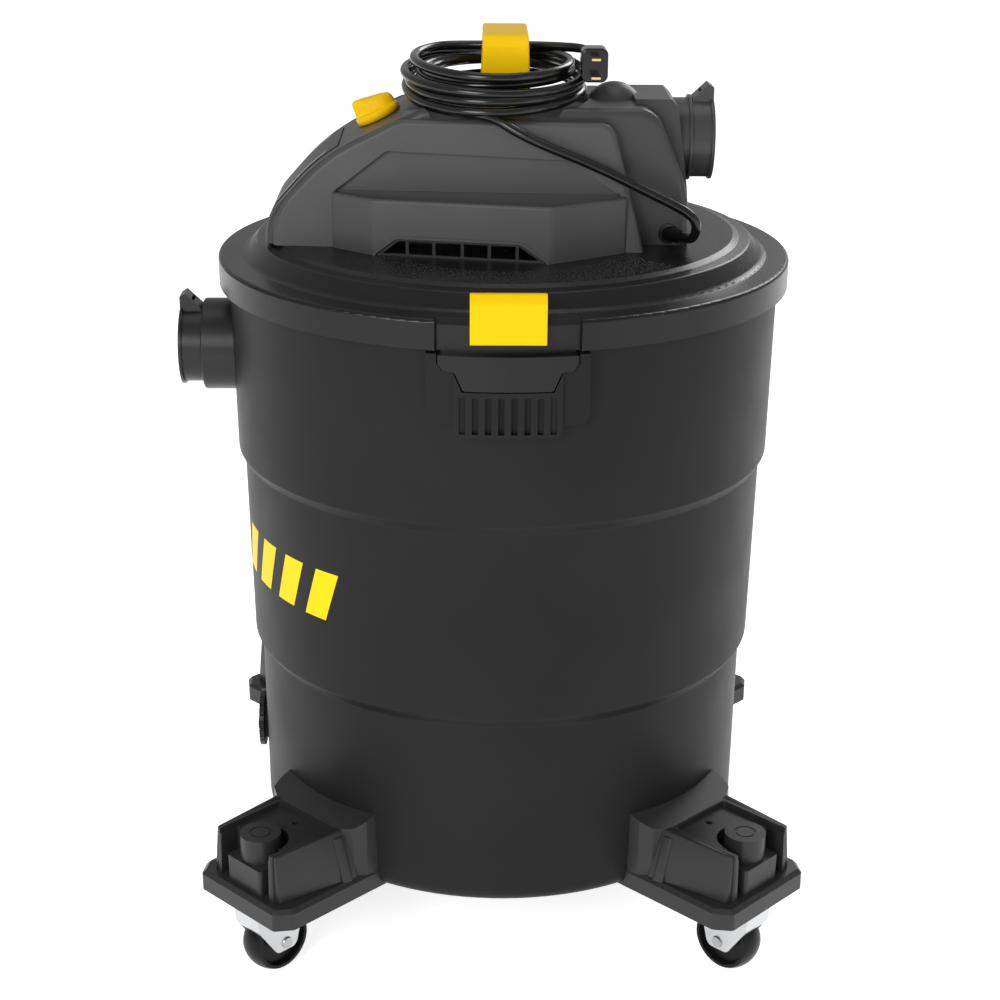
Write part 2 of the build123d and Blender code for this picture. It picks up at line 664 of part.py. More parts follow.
with BuildPart() as front_label:
    with BuildSketch(Plane.XZ.offset(-37)):
        with BuildLine():
            FilletPolyline(*HOUSING_OUTLINE, radius=[0, 40, 140, 14, 20, 100, 0], close=True)
        make_face()
        offset(amount=0.8)
        with BuildLine():
            FilletPolyline(*HOUSING_OUTLINE, radius=[0, 40, 140, 14, 20, 100, 0], close=True)
        make_face(mode=Mode.SUBTRACT)
        with Locations((-146, 564)):
            Rectangle(54, 56, mode=Mode.INTERSECT)
    extrude(amount=74)
save(front_label.part, "front_label")

with BuildPart() as blower_port:
    with BuildSketch(Plane.YZ.offset(98)):
        with Locations((0, BLOWER_Z)):
            Circle(PORT_R)
    extrude(amount=BLOWER_TIP_X - 98)
    with BuildSketch(Plane.YZ.offset(BLOWER_TIP_X - 2.5)):
        with Locations((0, BLOWER_Z)):
            Circle(PORT_R + 1.5)
    extrude(amount=2.5)
    with BuildSketch(Plane.YZ.offset(132.3)):
        with Locations((0, BLOWER_Z)):
            Circle(PORT_R + 2.2)
    extrude(amount=2.2)
    add(port_catch(BLOWER_TIP_X, 1, BLOWER_Z + PORT_R - 1))
    with BuildSketch(Plane.YZ.offset(95)):
        with Locations((0, BLOWER_Z)):
            Circle(PORT_BORE_R)
    extrude(amount=60, mode=Mode.SUBTRACT)
save(blower_port.part, "blower_port")

# ---- side covers --------------------------------------------------------
COVER_FOOT = Vector(-165, -62, PLATFORM_Z)
COVER_X = (Vector(98, -81, PLATFORM_Z) - COVER_FOOT).normalized()
COVER_N = (Vector(-5, -65, WELL_Z) - COVER_FOOT).cross(COVER_X).normalized() * -1
COVER_PLANE = Plane(origin=COVER_FOOT, x_dir=COVER_X, z_dir=COVER_N)
COVER_OUTLINE = [(0, -8), (0.6, 24.4), (39.3, 63.7), (90.3, 89.6), (239.5, 89.0), (264.5, -8)]
BUMP_TOP_Z = 564.0
TRAY_Z = 552.0
BUMP_CORNERS = [(-122, -67), (-93, -90), (31, -115), (84, -81.5)]
BUMP_INSIDE = [(-118.5, -64.5), (-91.3, -86.8), (30.4, -111.2), (79.5, -80.2)]
SLOT_X = Vector(124, -25, 0).normalized()
SLOT_PLANE = Plane(origin=(-31, -102.5, PLATFORM_Z), x_dir=SLOT_X,
                   z_dir=SLOT_X.cross(Vector(0, 0, 1)))
SLOT_HALF_OUTLINE = [(-61, -4), (-61, 1), (-46, 12.5), (42, 12.5), (60, 1), (60, -4)]


def bump_block(corners, back_y, radii, bottom, top):
    """Upright block with the plan of the bulge on a side cover."""
    plan = [(corners[0][0], back_y)] + corners + [(corners[-1][0], back_y)]
    with BuildPart() as block:
        with BuildSketch(Plane.XY.offset(bottom)):
            with BuildLine():
                FilletPolyline(*plan, radius=[0] + radii + [0], close=True)
            make_face()
        extrude(amount=top - bottom)
    return block.part


with BuildPart() as side_cover_left:
    with BuildSketch(COVER_PLANE):
        with BuildLine():
            FilletPolyline(*COVER_OUTLINE, radius=[0, 45, 120, 30, 12, 0], close=True)
        make_face()
    extrude(amount=-34)
    front_face = side_cover_left.faces().sort_by(Axis.Y)[0]
    fillet(front_face.edges().filter_by(lambda e: e.center().Z > PLATFORM_Z), 4.0)
    with BuildSketch(COVER_PLANE.offset(-4.5)):
        with BuildLine():
            FilletPolyline((44, 26), (44, 39), (81, 67.6), (208, 63.3), (246, 39), (246, 26),
                           radius=[0, 2, 5, 5, 2, 0], close=True)
        make_face()
    extrude(amount=30, mode=Mode.SUBTRACT)
    add(bump_block(BUMP_CORNERS, -58, [2, 8, 8, 3], PLATFORM_Z - 8, BUMP_TOP_Z))
    lip = side_cover_left.faces().filter_by(Axis.Z).filter_by(
        lambda f: abs(f.center().Z - BUMP_TOP_Z) < 0.1)
    fillet(lip.edges().filter_by(lambda e: e.center().Y < -79), 2.0)
    with BuildSketch(Plane.XY.offset(TRAY_Z)):
        with BuildLine():
            FilletPolyline((-119, -58.5), (-119, -65.0), (-91.3, -86.8), (30.4, -111.2),
                           (79.5, -80.2), (79.5, -72.5), radius=[0, 1, 6, 6, 2, 0], close=True)
        make_face()
    extrude(amount=14, mode=Mode.SUBTRACT)
    add(bump_block(BUMP_INSIDE, -50, [1, 6, 6, 2], PLATFORM_Z - 8, TRAY_Z - WALL),
        mode=Mode.SUBTRACT)
    with BuildSketch(SLOT_PLANE.offset(-1)):
        with BuildLine():
            FilletPolyline((-63, -6), (-63, 1.6), (-47, 14.3), (43, 14.3), (62, 1.6), (62, -6),
                           radius=[0, 3, 8, 9, 3, 0], close=True)
        make_face()
    extrude(amount=2)
    with BuildSketch(SLOT_PLANE.offset(6)):
        with BuildLine():
            FilletPolyline(*SLOT_HALF_OUTLINE, radius=[0, 3, 6, 7, 3, 0], close=True)
        make_face()
    extrude(amount=-14, mode=Mode.SUBTRACT)
    split(bisect_by=Plane.XZ.offset(HOUSING_HALF), keep=Keep.TOP)
    split(bisect_by=Plane.XY.offset(PLATFORM_Z), keep=Keep.TOP)
save(side_cover_left.part, "side_cover_left")
save(mirror(side_cover_left.part, about=Plane.XZ), "side_cover_right")

with BuildPart() as vent_grille_left:
    with BuildSketch(SLOT_PLANE.offset(-1.0)):
        with BuildLine():
            FilletPolyline((-60.6, -3), (-60.6, 0.8), (-45.8, 12.2), (41.8, 12.2), (59.6, 0.8),
                           (59.6, -3), radius=[0, 3, 6, 7, 3, 0], close=True)
        make_face()
    extrude(amount=-1.6)
    with BuildSketch(SLOT_PLANE.offset(-0.5)):
        with BuildLine():
            FilletPolyline((-56, 1.6), (-44.5, 10.7), (40.5, 10.7), (54.5, 1.6),
                           radius=[0, 4, 5, 0], close=True)
        make_face()
        with Locations((-38.5, 6), (-19.5, 6), (0.5, 6), (19.5, 6), (39.0, 6)):
            Rectangle(2.2, 14, mode=Mode.SUBTRACT)
    extrude(amount=-3, mode=Mode.SUBTRACT)
    split(bisect_by=Plane.XY.offset(PLATFORM_Z), keep=Keep.TOP)
save(vent_grille_left.part, "vent_grille_left")
save(mirror(vent_grille_left.part, about=Plane.XZ), "vent_grille_right")

# ---- carry handle -------------------------------------------------------
with BuildPart() as carry_handle:
    with BuildSketch(Plane.YZ.offset(-18)):
        with BuildLine():
            FilletPolyline((-37, WELL_Z), (-37, HANDLE_TOP_Z), (37, HANDLE_TOP_Z), (37, WELL_Z),
                           radius=[0, 9, 9, 0], close=True)
        make_face()
        with BuildLine():
            FilletPolyline((-28, WELL_Z - 1), (-28, 658), (28, 658), (28, WELL_Z - 1),
                           radius=[0, 5, 5, 0], close=True)
        make_face(mode=Mode.SUBTRACT)
    extrude(amount=36)
    with BuildSketch(Plane.XZ.offset(-40)):
        with BuildLine():
            Polyline((-17.8, WELL_Z), (-16, HANDLE_TOP_Z), (16, HANDLE_TOP_Z), (17.8, WELL_Z),
                     close=True)
        make_face()
    extrude(amount=80, mode=Mode.INTERSECT)
    crown = carry_handle.faces().filter_by(Axis.Z).sort_by(Axis.Z)[-1]
    fillet(crown.edges().filter_by(Axis.Y), 1.6)
    with BuildSketch(Plane.XY.offset(WELL_Z)):
        with GridLocations(1, 65, 1, 2):
            Circle(2.0)
    extrude(amount=16, mode=Mode.SUBTRACT)
save(carry_handle.part, "carry_handle")

with BuildPart() as handle_screws:
    for side in (-1, 1):
        with BuildSketch(Plane((0, side * 32.5, CAVITY_TOP_Z - 2.6))):
            Circle(4.0)
        extrude(amount=2.6)
        with BuildSketch(Plane((0, side * 32.5, CAVITY_TOP_Z))):
            Circle(1.9)
        extrude(amount=17)
save(handle_screws.part, "handle_screws")

with BuildPart() as housing_screws:
    for x, y in HOUSING_SCREWS:
        with BuildSketch(Plane((x, y, PLATFORM_Z - WALL - 2.6))):
            Circle(4.0)
        extrude(amount=2.6)
        with BuildSketch(Plane((x, y, PLATFORM_Z - WALL))):
            Circle(1.9)
        extrude(amount=13)
save(housing_screws.part, "housing_screws")

# ---- cord and plug ------------------------------------------------------
RELIEF_DIR = Vector(0.55, -0.835, 0).normalized()
RELIEF_TIP = Vector(*RELIEF_WALL) + RELIEF_DIR * 17

with BuildPart() as strain_relief:
    with BuildSketch(Plane.XZ.offset(HOUSING_HALF)):
        with Locations((RELIEF_WALL[0], RELIEF_WALL[2])):
            Circle(7.0)
    extrude(amount=2.5)
    with BuildSketch(Plane(origin=Vector(*RELIEF_WALL), z_dir=RELIEF_DIR)):
        Circle(5.4)
    extrude(amount=17, taper=3.2)
    split(bisect_by=Plane.XZ.offset(HOUSING_HALF), keep=Keep.TOP)
save(strain_relief.part, "strain_relief")

CORD_ROUTE = [
    tuple(RELIEF_TIP), tuple(RELIEF_TIP + RELIEF_DIR * 10), (133.4, -83.2, 541.5), (132.2, -84.6, 549.0),
    (126.0, -83.8, 554.6), (117.0, -83.0, 559.4), (106.2, -82.8, 564.6), (94.0, -83.4, 570.6),
    (80.0, -83.6, 577.6), (63.5, -82.6, 585.2), (45.5, -80.4, 592.4), (26.0, -78.0, 599.6),
    (8.0, -74.6, 607.4), (-6.0, -70.0, 615.6), (-15.5, -65.6, 621.4),
]


def corner_radii(points):
    """Largest tangent arc that the two runs beside each corner allow."""
    radii = []
    for before, here, after in zip(points, points[1:], points[2:]):
        run_in = Vector(*here) - Vector(*before)
        run_out = Vector(*after) - Vector(*here)
        half_turn = math.radians(run_in.get_angle(run_out)) / 2
        radii.append(0.45 * min(run_in.length, run_out.length) / math.tan(half_turn))
    return radii


CORD_RADII = corner_radii(CORD_ROUTE)
with BuildPart() as cord_tail:
    with BuildLine() as route:
        FilletPolyline(*CORD_ROUTE, radius=CORD_RADII)
    with BuildSketch(Plane(origin=route.wires()[0] @ 0, z_dir=route.wires()[0] % 0)):
        Circle(CORD_D / 2)
    sweep()
save(cord_tail.part, "cord_tail")
route_length = route.wires()[0].length
print("cord radii", [round(r, 1) for r in CORD_RADII])
print("cord tail length", round(route_length, 1), "volume", round(cord_tail.part.volume, 1),
      "section x length", round(math.pi * CORD_D ** 2 / 4 * route_length, 1))

with BuildPart() as cord_coil:
    with BuildSketch(Plane.XY.offset(WELL_Z + 0.3)):
        with Locations((-8, 0)):
            Ellipse(65, 71)
        Ellipse(39, 43, mode=Mode.SUBTRACT)
    extrude(amount=50)
    split(bisect_by=Plane(origin=(-8, 0, 648), z_dir=(0.04, -0.09, 1)), keep=Keep.BOTTOM)
save(cord_coil.part, "cord_coil")

with BuildPart() as plug_body:
    with BuildSketch(Plane(origin=(62.5, -35, 648), x_dir=(1, 0, 0), z_dir=(0, 1, 0))):
        RectangleRounded(19, 24, 5)
    extrude(amount=17)
    with BuildSketch(Plane(origin=(62.5, -18, 648), x_dir=(1, 0, 0), z_dir=(0, 1, 0))):
        RectangleRounded(15, 18, 6)
    extrude(amount=11, taper=16)
    fillet(plug_body.faces().sort_by(Axis.Y)[0].edges(), 1.5)
save(plug_body.part, "plug_body")

with BuildPart() as plug_blades:
    with BuildSketch(Plane(origin=(62.5, -34, 648), x_dir=(1, 0, 0), z_dir=(0, 1, 0))):
        with GridLocations(1, 12.7, 1, 2):
            Rectangle(6.3, 1.5)
    extrude(amount=-18)
    add(plug_body.part, mode=Mode.SUBTRACT)
save(plug_blades.part, "plug_blades")

# ---- motor --------------------------------------------------------------
with BuildPart() as motor_bracket:
    add(ring(14.0, 52.0, 528, 531))
    add(ring(14.0, 17.0, 528, 536.5))
    add(ring(45.0, 48.0, 531, 603))
    add(ring(STATOR_R, 46.0, 552, 578))
    add(ring(14.0, 48.0, 599, 603))
    add(ring(7.0, 17.0, 603, 606))
    add(ring(14.0, 17.0, 594.5, 603))
    with BuildSketch(Plane.XY.offset(534)):
        with PolarLocations(47, 6):
            Rectangle(12, 22)
    extrude(amount=12, mode=Mode.SUBTRACT)
    with BuildSketch(Plane.XY.offset(598)):
        with PolarLocations(31, 6, start_angle=30):
            Circle(6)
    extrude(amount=6, mode=Mode.SUBTRACT)
save(motor_bracket.part, "motor_bracket")

with BuildPart() as motor_bearings:
    for bottom in (528.2, 595.0):
        add(ring(SHAFT_R + FIT, 14.0, bottom, bottom + 8))
save(motor_bearings.part, "motor_bearings")

with BuildPart() as motor_stator:
    add(ring(26.0, STATOR_R, 549, 581))
save(motor_stator.part, "motor_stator")

with BuildPart() as stator_windings:
    add(ring(27.5, 39.5, 546.6, 549))
    add(ring(27.5, 39.5, 581, 586))
save(stator_windings.part, "stator_windings")

with BuildPart() as armature:
    add(ring(0, SHAFT_R, 503, 602.5))
    add(ring(SHAFT_R, 25.2, 549.5, 580.5))
    add(ring(SHAFT_R, 20.0, 546.4, 583.6))
    add(ring(SHAFT_R, 14.0, 584, 591))
save(armature.part, "armature")

with BuildPart() as brush_holders:
    with BuildSketch(Plane.XY.offset(583.8)):
        with GridLocations(58, 1, 2, 1):
            Rectangle(28, 9)
    extrude(amount=8)
    add(ring(0, 44.9, 570, 600), mode=Mode.INTERSECT)
    with BuildSketch(Plane.XY.offset(585)):
        with GridLocations(42, 1, 2, 1):
            Rectangle(20, 6)
    extrude(amount=5, mode=Mode.SUBTRACT)
    add(ring(27.0, 40.0, 580, 586.1), mode=Mode.SUBTRACT)
save(brush_holders.part, "brush_holders")

with BuildPart() as carbon_brushes:
    with BuildSketch(Plane.XY.offset(585)):
        with GridLocations(40, 1, 2, 1):
            Rectangle(14, 6)
    extrude(amount=5)
    add(ring(0, 14.05, 580, 592), mode=Mode.SUBTRACT)
save(carbon_brushes.part, "carbon_brushes")

with BuildPart() as cooling_fan:
    add(ring(SHAFT_R, 9.0, 538, 545))
    add(ring(9.0, 37.0, 538, 539.2))
    with BuildSketch(Plane.XY.offset(539)):
        with PolarLocations(21.8, 9):
            Rectangle(28, 1.4)
    extrude(amount=6)
save(cooling_fan.part, "cooling_fan")

with BuildPart() as impeller:
    add(ring(SHAFT_R, 9.0, 503, 519))
    add(ring(SHAFT_R, IMPELLER_R, 517.5, 519))
    add(ring(26.0, IMPELLER_R, 503, 504.5))
    with BuildSketch(Plane.XY.offset(503.5)):
        with PolarLocations(37, 9):
            Rectangle(31, 1.6, rotation=32)
    extrude(amount=15)
    add(ring(0, IMPELLER_R, 500, 520), mode=Mode.INTERSECT)
    with BuildSketch(Plane.XY.offset(499)):
        Circle(SHAFT_R)
    extrude(amount=22, mode=Mode.SUBTRACT)
save(impeller.part, "impeller")

with BuildPart() as impeller_housing:
    add(ring(60.0, 63.0, 495, PLATFORM_Z))
    add(ring(16.0, 63.0, 495, 498))
    with BuildSketch(Plane.XY.offset(525)):
        Circle(84)
        Rectangle(200, 2 * (HOUSING_HALF - WALL) - 1, mode=Mode.INTERSECT)
        Circle(8.0, mode=Mode.SUBTRACT)
    extrude(amount=3)
    with BuildSketch(Plane.XY.offset(524)):
        with PolarLocations(56, 3, start_angle=-30, angular_range=60):
            Rectangle(7, 18)
    extrude(amount=6, mode=Mode.SUBTRACT)
save(impeller_housing.part, "impeller_housing")

# ---- filter and float ---------------------------------------------------
CAGE_TOP_Z = PLATFORM_Z - WALL
with BuildPart() as filter_cage:
    add(ring(64.0, 88.0, CAGE_TOP_Z - 3, CAGE_TOP_Z))
    add(ring(64.0, CAGE_R, CAGE_BOTTOM_Z, CAGE_TOP_Z - 1))
    add(ring(0, CAGE_R, CAGE_BOTTOM_Z, CAGE_BOTTOM_Z + 3))
    for row_z in (356, 396, 436, 470):
        with BuildSketch(Plane.XY.offset(row_z)):
            with PolarLocations(65.5, 12):
                Rectangle(10, 22)
        extrude(amount=28 if row_z < 470 else 20, mode=Mode.SUBTRACT)
    with BuildSketch(Plane.XY.offset(CAGE_TOP_Z - 4)):
        with Locations(*CAGE_SCREWS):
            Circle(2.2)
    extrude(amount=6, mode=Mode.SUBTRACT)
    with BuildSketch(Plane.XY.offset(CAGE_BOTTOM_Z - 24)):
        Circle(4.0)
    extrude(amount=24)
save(filter_cage.part, "filter_cage")

with BuildPart() as cage_screws:
    for x, y in CAGE_SCREWS:
        with BuildSketch(Plane((x, y, CAGE_TOP_Z - 5.6))):
            Circle(4.0)
        extrude(amount=2.6)
        with BuildSketch(Plane((x, y, CAGE_TOP_Z - 3))):
            Circle(2.0)
        extrude(amount=6)
save(cage_screws.part, "cage_screws")

with BuildPart() as float_ball:
    with BuildSketch(Plane.XZ.offset(0)):
        with BuildLine():
            ThreePointArc((0, CAGE_BOTTOM_Z + 3.3), (FLOAT_R, CAGE_BOTTOM_Z + 3.3 + FLOAT_R),
                          (0, CAGE_BOTTOM_Z + 3.3 + 2 * FLOAT_R))
            Line((0, CAGE_BOTTOM_Z + 3.3 + 2 * FLOAT_R), (0, CAGE_BOTTOM_Z + 3.3))
        make_face()
    revolve(axis=Axis.Z)
save(float_ball.part, "float_ball")

with BuildPart() as cartridge_filter:
    add(ring(CAGE_R + 0.4, 92.0, 341.8, 347))
    add(ring(CAGE_R + 0.4, 90.0, 347, 512))
    add(ring(CAGE_R + 0.4, 92.0, 512, 515.8))
    with BuildSketch(Plane.XY.offset(347)):
        with PolarLocations(90.0, 60):
            RegularPolygon(3.4, 3, rotation=180)
    extrude(amount=165, mode=Mode.SUBTRACT)
save(cartridge_filter.part, "cartridge_filter")

with BuildPart() as filter_retainer:
    add(ring(4.0 + FIT, 94.0, 337, 341.4))
    add(ring(4.0 + FIT, 14.0, 328, 337.5))
    with BuildSketch(Plane.XY.offset(322)):
        with Locations((0, 0)):
            RectangleRounded(44, 7, 3)
            Circle(9.0)
            Circle(4.0 + FIT, mode=Mode.SUBTRACT)
    extrude(amount=9)
save(filter_retainer.part, "filter_retainer")
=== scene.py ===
"""Looks of the shop vacuum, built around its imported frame, in metres."""

import logging
import math
from dataclasses import dataclass, field
from enum import Enum

import bmesh
import bpy
from mathutils import Matrix, Vector


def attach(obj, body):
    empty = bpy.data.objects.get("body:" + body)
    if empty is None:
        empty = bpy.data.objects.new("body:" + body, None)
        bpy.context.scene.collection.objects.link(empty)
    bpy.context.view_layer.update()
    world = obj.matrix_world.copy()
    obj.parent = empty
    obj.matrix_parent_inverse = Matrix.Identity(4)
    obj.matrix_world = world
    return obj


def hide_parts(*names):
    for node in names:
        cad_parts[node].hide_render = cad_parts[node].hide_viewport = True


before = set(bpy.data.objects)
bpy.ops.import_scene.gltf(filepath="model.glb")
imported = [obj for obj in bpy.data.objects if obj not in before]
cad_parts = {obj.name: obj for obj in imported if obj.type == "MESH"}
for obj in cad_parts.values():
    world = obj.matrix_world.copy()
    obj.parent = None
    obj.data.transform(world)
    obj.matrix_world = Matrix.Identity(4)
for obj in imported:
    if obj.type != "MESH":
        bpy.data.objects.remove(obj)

LOG = logging.getLogger("shop_vacuum")
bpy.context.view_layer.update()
CORNERS = {"front_left": 225.0, "front_right": 135.0, "rear_left": 315.0, "rear_right": 45.0}
Colour = tuple[float, float, float]
Point = tuple[float, float, float]


# ---- shared surface effects ------------------------------------------------
class Grain(Enum):
    """How fine the moulded or worked surface is, in waves a metre."""

    SPARK = 1500.0
    MATTE = 2600.0
    CASTING = 900.0
    PAPER = 700.0


class NodeTools:
    """Small helpers that add and wire shader nodes."""

    def __init__(self, tree: bpy.types.NodeTree) -> None:
        """Keep the tree that the nodes go into."""
        self.tree = tree

    def add(self, kind: str, **values: object) -> bpy.types.Node:
        """Add a node and set its properties and input defaults.

        Args:
            kind: the node's type name.
            values: properties by name, or input values by socket name.

        Returns:
            The new node.
        """
        node = self.tree.nodes.new(kind)
        for name, value in values.items():
            if hasattr(node, name) and name not in node.inputs:
                setattr(node, name, value)
            else:
                node.inputs[name.replace("_", " ")].default_value = value
        return node

    def wire(self, source: bpy.types.NodeSocket, target: bpy.types.NodeSocket) -> None:
        """Link two sockets."""
        self.tree.links.new(source, target)

    def maths(self, operation: str, first: object, second: object = 0.0) -> bpy.types.NodeSocket:
        """Add a Math node.

        Args:
            operation: the operation's name.
            first: a socket or a number.
            second: a socket or a number.

        Returns:
            The result's socket.
        """
        node = self.tree.nodes.new("ShaderNodeMath")
        node.operation = operation
        for place, value in enumerate((first, second)):
            if isinstance(value, bpy.types.NodeSocket):
                self.wire(value, node.inputs[place])
            else:
                node.inputs[place].default_value = value
        return node.outputs[0]

    def ramp(self, value: bpy.types.NodeSocket, low: float, high: float) -> bpy.types.NodeSocket:
        """Stretch a value between two limits to run from 0 to 1.

        Args:
            value: the socket to stretch.
            low: the value that becomes 0.
            high: the value that becomes 1.

        Returns:
            The stretched value's socket.
        """
        node = self.tree.nodes.new("ShaderNodeMapRange")
        node.inputs["From Min"].default_value = low
        node.inputs["From Max"].default_value = high
        self.wire(value, node.inputs["Value"])
        return node.outputs[0]


def moulded_surface_group() -> bpy.types.NodeTree:
    """Build the group that gives every finish its grain, tone, scuffs and settled dust.

    Returns:
        The group, with inputs Grain Scale and Scuff Scale and outputs Height, Tone, Scuff, Dust.
    """
    tree = bpy.data.node_groups.new("moulded_surface", "ShaderNodeTree")
    face = tree.interface
    for name, default in (("Grain Scale", 1500.0), ("Scuff Scale", 60.0)):
        face.new_socket(name=name, in_out="INPUT", socket_type="NodeSocketFloat").default_value = default
    for name in ("Height", "Tone", "Scuff", "Dust"):
        face.new_socket(name=name, in_out="OUTPUT", socket_type="NodeSocketFloat")
    tools = NodeTools(tree)
    inputs = tools.add("NodeGroupInput")
    outputs = tools.add("NodeGroupOutput")
    place = tools.add("ShaderNodeTexCoord").outputs["Object"]
    fine = tools.add("ShaderNodeTexNoise", Detail=3.0, Roughness=0.6)
    broad = tools.add("ShaderNodeTexNoise", Scale=14.0, Detail=4.0)
    scratch = tools.add("ShaderNodeTexNoise", Detail=6.0, Roughness=0.75)
    stretch = tools.add("ShaderNodeMapping")
    stretch.inputs["Scale"].default_value = (1.0, 1.0, 0.12)
    tools.wire(place, fine.inputs["Vector"])
    tools.wire(place, broad.inputs["Vector"])
    tools.wire(place, stretch.inputs["Vector"])
    tools.wire(stretch.outputs[0], scratch.inputs["Vector"])
    tools.wire(inputs.outputs["Grain Scale"], fine.inputs["Scale"])
    tools.wire(inputs.outputs["Scuff Scale"], scratch.inputs["Scale"])
    normal = tools.add("ShaderNodeNewGeometry").outputs["Normal"]
    split = tools.add("ShaderNodeSeparateXYZ")
    tools.wire(normal, split.inputs[0])
    upward = tools.ramp(split.outputs["Z"], 0.55, 1.0)
    patchy = tools.ramp(broad.outputs[0], 0.42, 0.68)
    tools.wire(fine.outputs[0], outputs.inputs["Height"])
    tools.wire(tools.ramp(broad.outputs[0], 0.3, 0.7), outputs.inputs["Tone"])
    tools.wire(tools.ramp(scratch.outputs[0], 0.62, 0.8), outputs.inputs["Scuff"])
    tools.wire(tools.maths("MULTIPLY", upward, patchy), outputs.inputs["Dust"])
    return tree


@dataclass(frozen=True)
class Finish:
    """A material of one kind of plastic, rubber, metal or paper."""

    name: str
    colour: Colour
    roughness: float
    grain: Grain = Grain.SPARK
    grain_depth: float = 0.12
    metallic: float = 0.0
    specular: float = 0.5
    coat: float = 0.0
    tone: float = 0.12
    scuff: float = 0.10
    dust: float = 0.05
    dust_colour: Colour = (0.32, 0.31, 0.29)

    def build(self) -> bpy.types.Material:
        """Make the material, or return it when it exists.

        Returns:
            The material of this finish.
        """
        if self.name in bpy.data.materials:
            return bpy.data.materials[self.name]
        material = bpy.data.materials.new(self.name)
        material.use_nodes = True
        tools = NodeTools(material.node_tree)
        shader = material.node_tree.nodes["Principled BSDF"]
        shader.inputs["Metallic"].default_value = self.metallic
        shader.inputs["Specular IOR Level"].default_value = self.specular
        shader.inputs["Coat Weight"].default_value = self.coat
        shader.inputs["Coat Roughness"].default_value = 0.12
        surface = tools.add("ShaderNodeGroup")
        surface.node_tree = bpy.data.node_groups["moulded_surface"]
        surface.inputs["Grain Scale"].default_value = self.grain.value
        toned = tools.add("ShaderNodeMix", data_type="RGBA")
        toned.inputs[6].default_value = (*self.colour, 1.0)
        toned.inputs[7].default_value = (*(c * (1.0 - self.tone) for c in self.colour), 1.0)
        tools.wire(surface.outputs["Tone"], toned.inputs[0])
        dusty = tools.add("ShaderNodeMix", data_type="RGBA")
        dusty.inputs[7].default_value = (*self.dust_colour, 1.0)
        tools.wire(toned.outputs[2], dusty.inputs[6])
        tools.wire(tools.maths("MULTIPLY", surface.outputs["Dust"], self.dust), dusty.inputs[0])
        tools.wire(dusty.outputs[2], shader.inputs["Base Color"])
        rough = tools.maths("MULTIPLY", surface.outputs["Tone"], 0.08)
        rough = tools.maths("ADD", rough, self.roughness - 0.04)
        scuffed = tools.maths("MULTIPLY", surface.outputs["Scuff"], self.scuff)
        tools.wire(tools.maths("ADD", rough, scuffed), shader.inputs["Roughness"])
        bump = tools.add("ShaderNodeBump")
        bump.inputs["Strength"].default_value = self.grain_depth
        bump.inputs["Distance"].default_value = 0.0004
        tools.wire(surface.outputs["Height"], bump.inputs["Height"])
        tools.wire(bump.outputs["Normal"], shader.inputs["Normal"])
        return material


DRUM_BLACK = Finish("drum_black", (0.0125, 0.0125, 0.0127), 0.46, grain_depth=0.10, specular=0.13, dust=0.01)
LID_BLACK = Finish("lid_black", (0.0085, 0.0085, 0.0088), 0.28, grain_depth=0.14, specular=0.24, dust=0.015)
STIPPLE_BLACK = Finish("stipple_black", (0.011, 0.011, 0.0112), 0.42, grain_depth=0.20,
                       specular=0.26, dust=0.0)
HEAD_BLACK = Finish("head_black", (0.040, 0.040, 0.0418), 0.40, grain_depth=0.12,
                    specular=0.34, dust=0.01)
COVER_GREY = Finish("cover_grey", (0.058, 0.058, 0.0605), 0.46, grain_depth=0.14,
                    specular=0.34, dust=0.01)
BLOWER_GREY = Finish("blower_grey", (0.042, 0.042, 0.0438), 0.36, grain_depth=0.06,
                     specular=0.40, dust=0.01)
FITTING_BLACK = Finish("fitting_black", (0.013, 0.013, 0.0136), 0.32, grain_depth=0.06,
                       specular=0.32, dust=0.01)
FOOT_BLACK = Finish("foot_black", (0.025, 0.025, 0.0255), 0.36, grain_depth=0.10, specular=0.28, dust=0.02)
GRILLE_BLACK = Finish("grille_black", (0.02, 0.02, 0.021), 0.5, specular=0.3)
YELLOW = Finish("signal_yellow", (0.83, 0.51, 0.0002), 0.36, grain_depth=0.05,
                specular=0.10, tone=0.03, dust=0.0)
MARK_YELLOW = Finish("mark_yellow", (0.86, 0.62, 0.0004), 0.42, grain_depth=0.02,
                     specular=0.1, tone=0.03, dust=0.0)
WHEEL_BLACK = Finish("wheel_black", (0.004, 0.004, 0.004), 0.32, grain_depth=0.08, specular=0.16, dust=0.02)
CORD_BLACK = Finish("cord_black", (0.0045, 0.0045, 0.0047), 0.22, grain_depth=0.03,
                    specular=0.34, coat=0.2, dust=0.0)
SEAL_RUBBER = Finish("seal_rubber", (0.02, 0.02, 0.02), 0.7, grain=Grain.MATTE)
ZINC = Finish("zinc_plate", (0.62, 0.63, 0.64), 0.28, grain=Grain.CASTING, metallic=1.0, tone=0.2)
STEEL = Finish("turned_steel", (0.5, 0.5, 0.51), 0.3, grain=Grain.MATTE, metallic=1.0, tone=0.25)
LAMINATION = Finish("lamination_steel", (0.23, 0.23, 0.24), 0.48, metallic=1.0, tone=0.4)
COPPER = Finish("winding_copper", (0.62, 0.24, 0.09), 0.32, grain=Grain.CASTING, metallic=1.0)
BRASS = Finish("blade_brass", (0.74, 0.57, 0.27), 0.24, metallic=1.0, grain_depth=0.03)
CARBON = Finish("brush_carbon", (0.03, 0.03, 0.03), 0.6)
LABEL_FILM = Finish("label_film", (0.030, 0.030, 0.031), 0.42, grain_depth=0.02, specular=0.25, dust=0.0)
LABEL_SILVER = Finish("label_silver", (0.48, 0.49, 0.50), 0.36, grain_depth=0.02, metallic=0.7, dust=0.0)
NATURAL_WHITE = Finish("natural_white", (0.7, 0.69, 0.65), 0.42, tone=0.06)
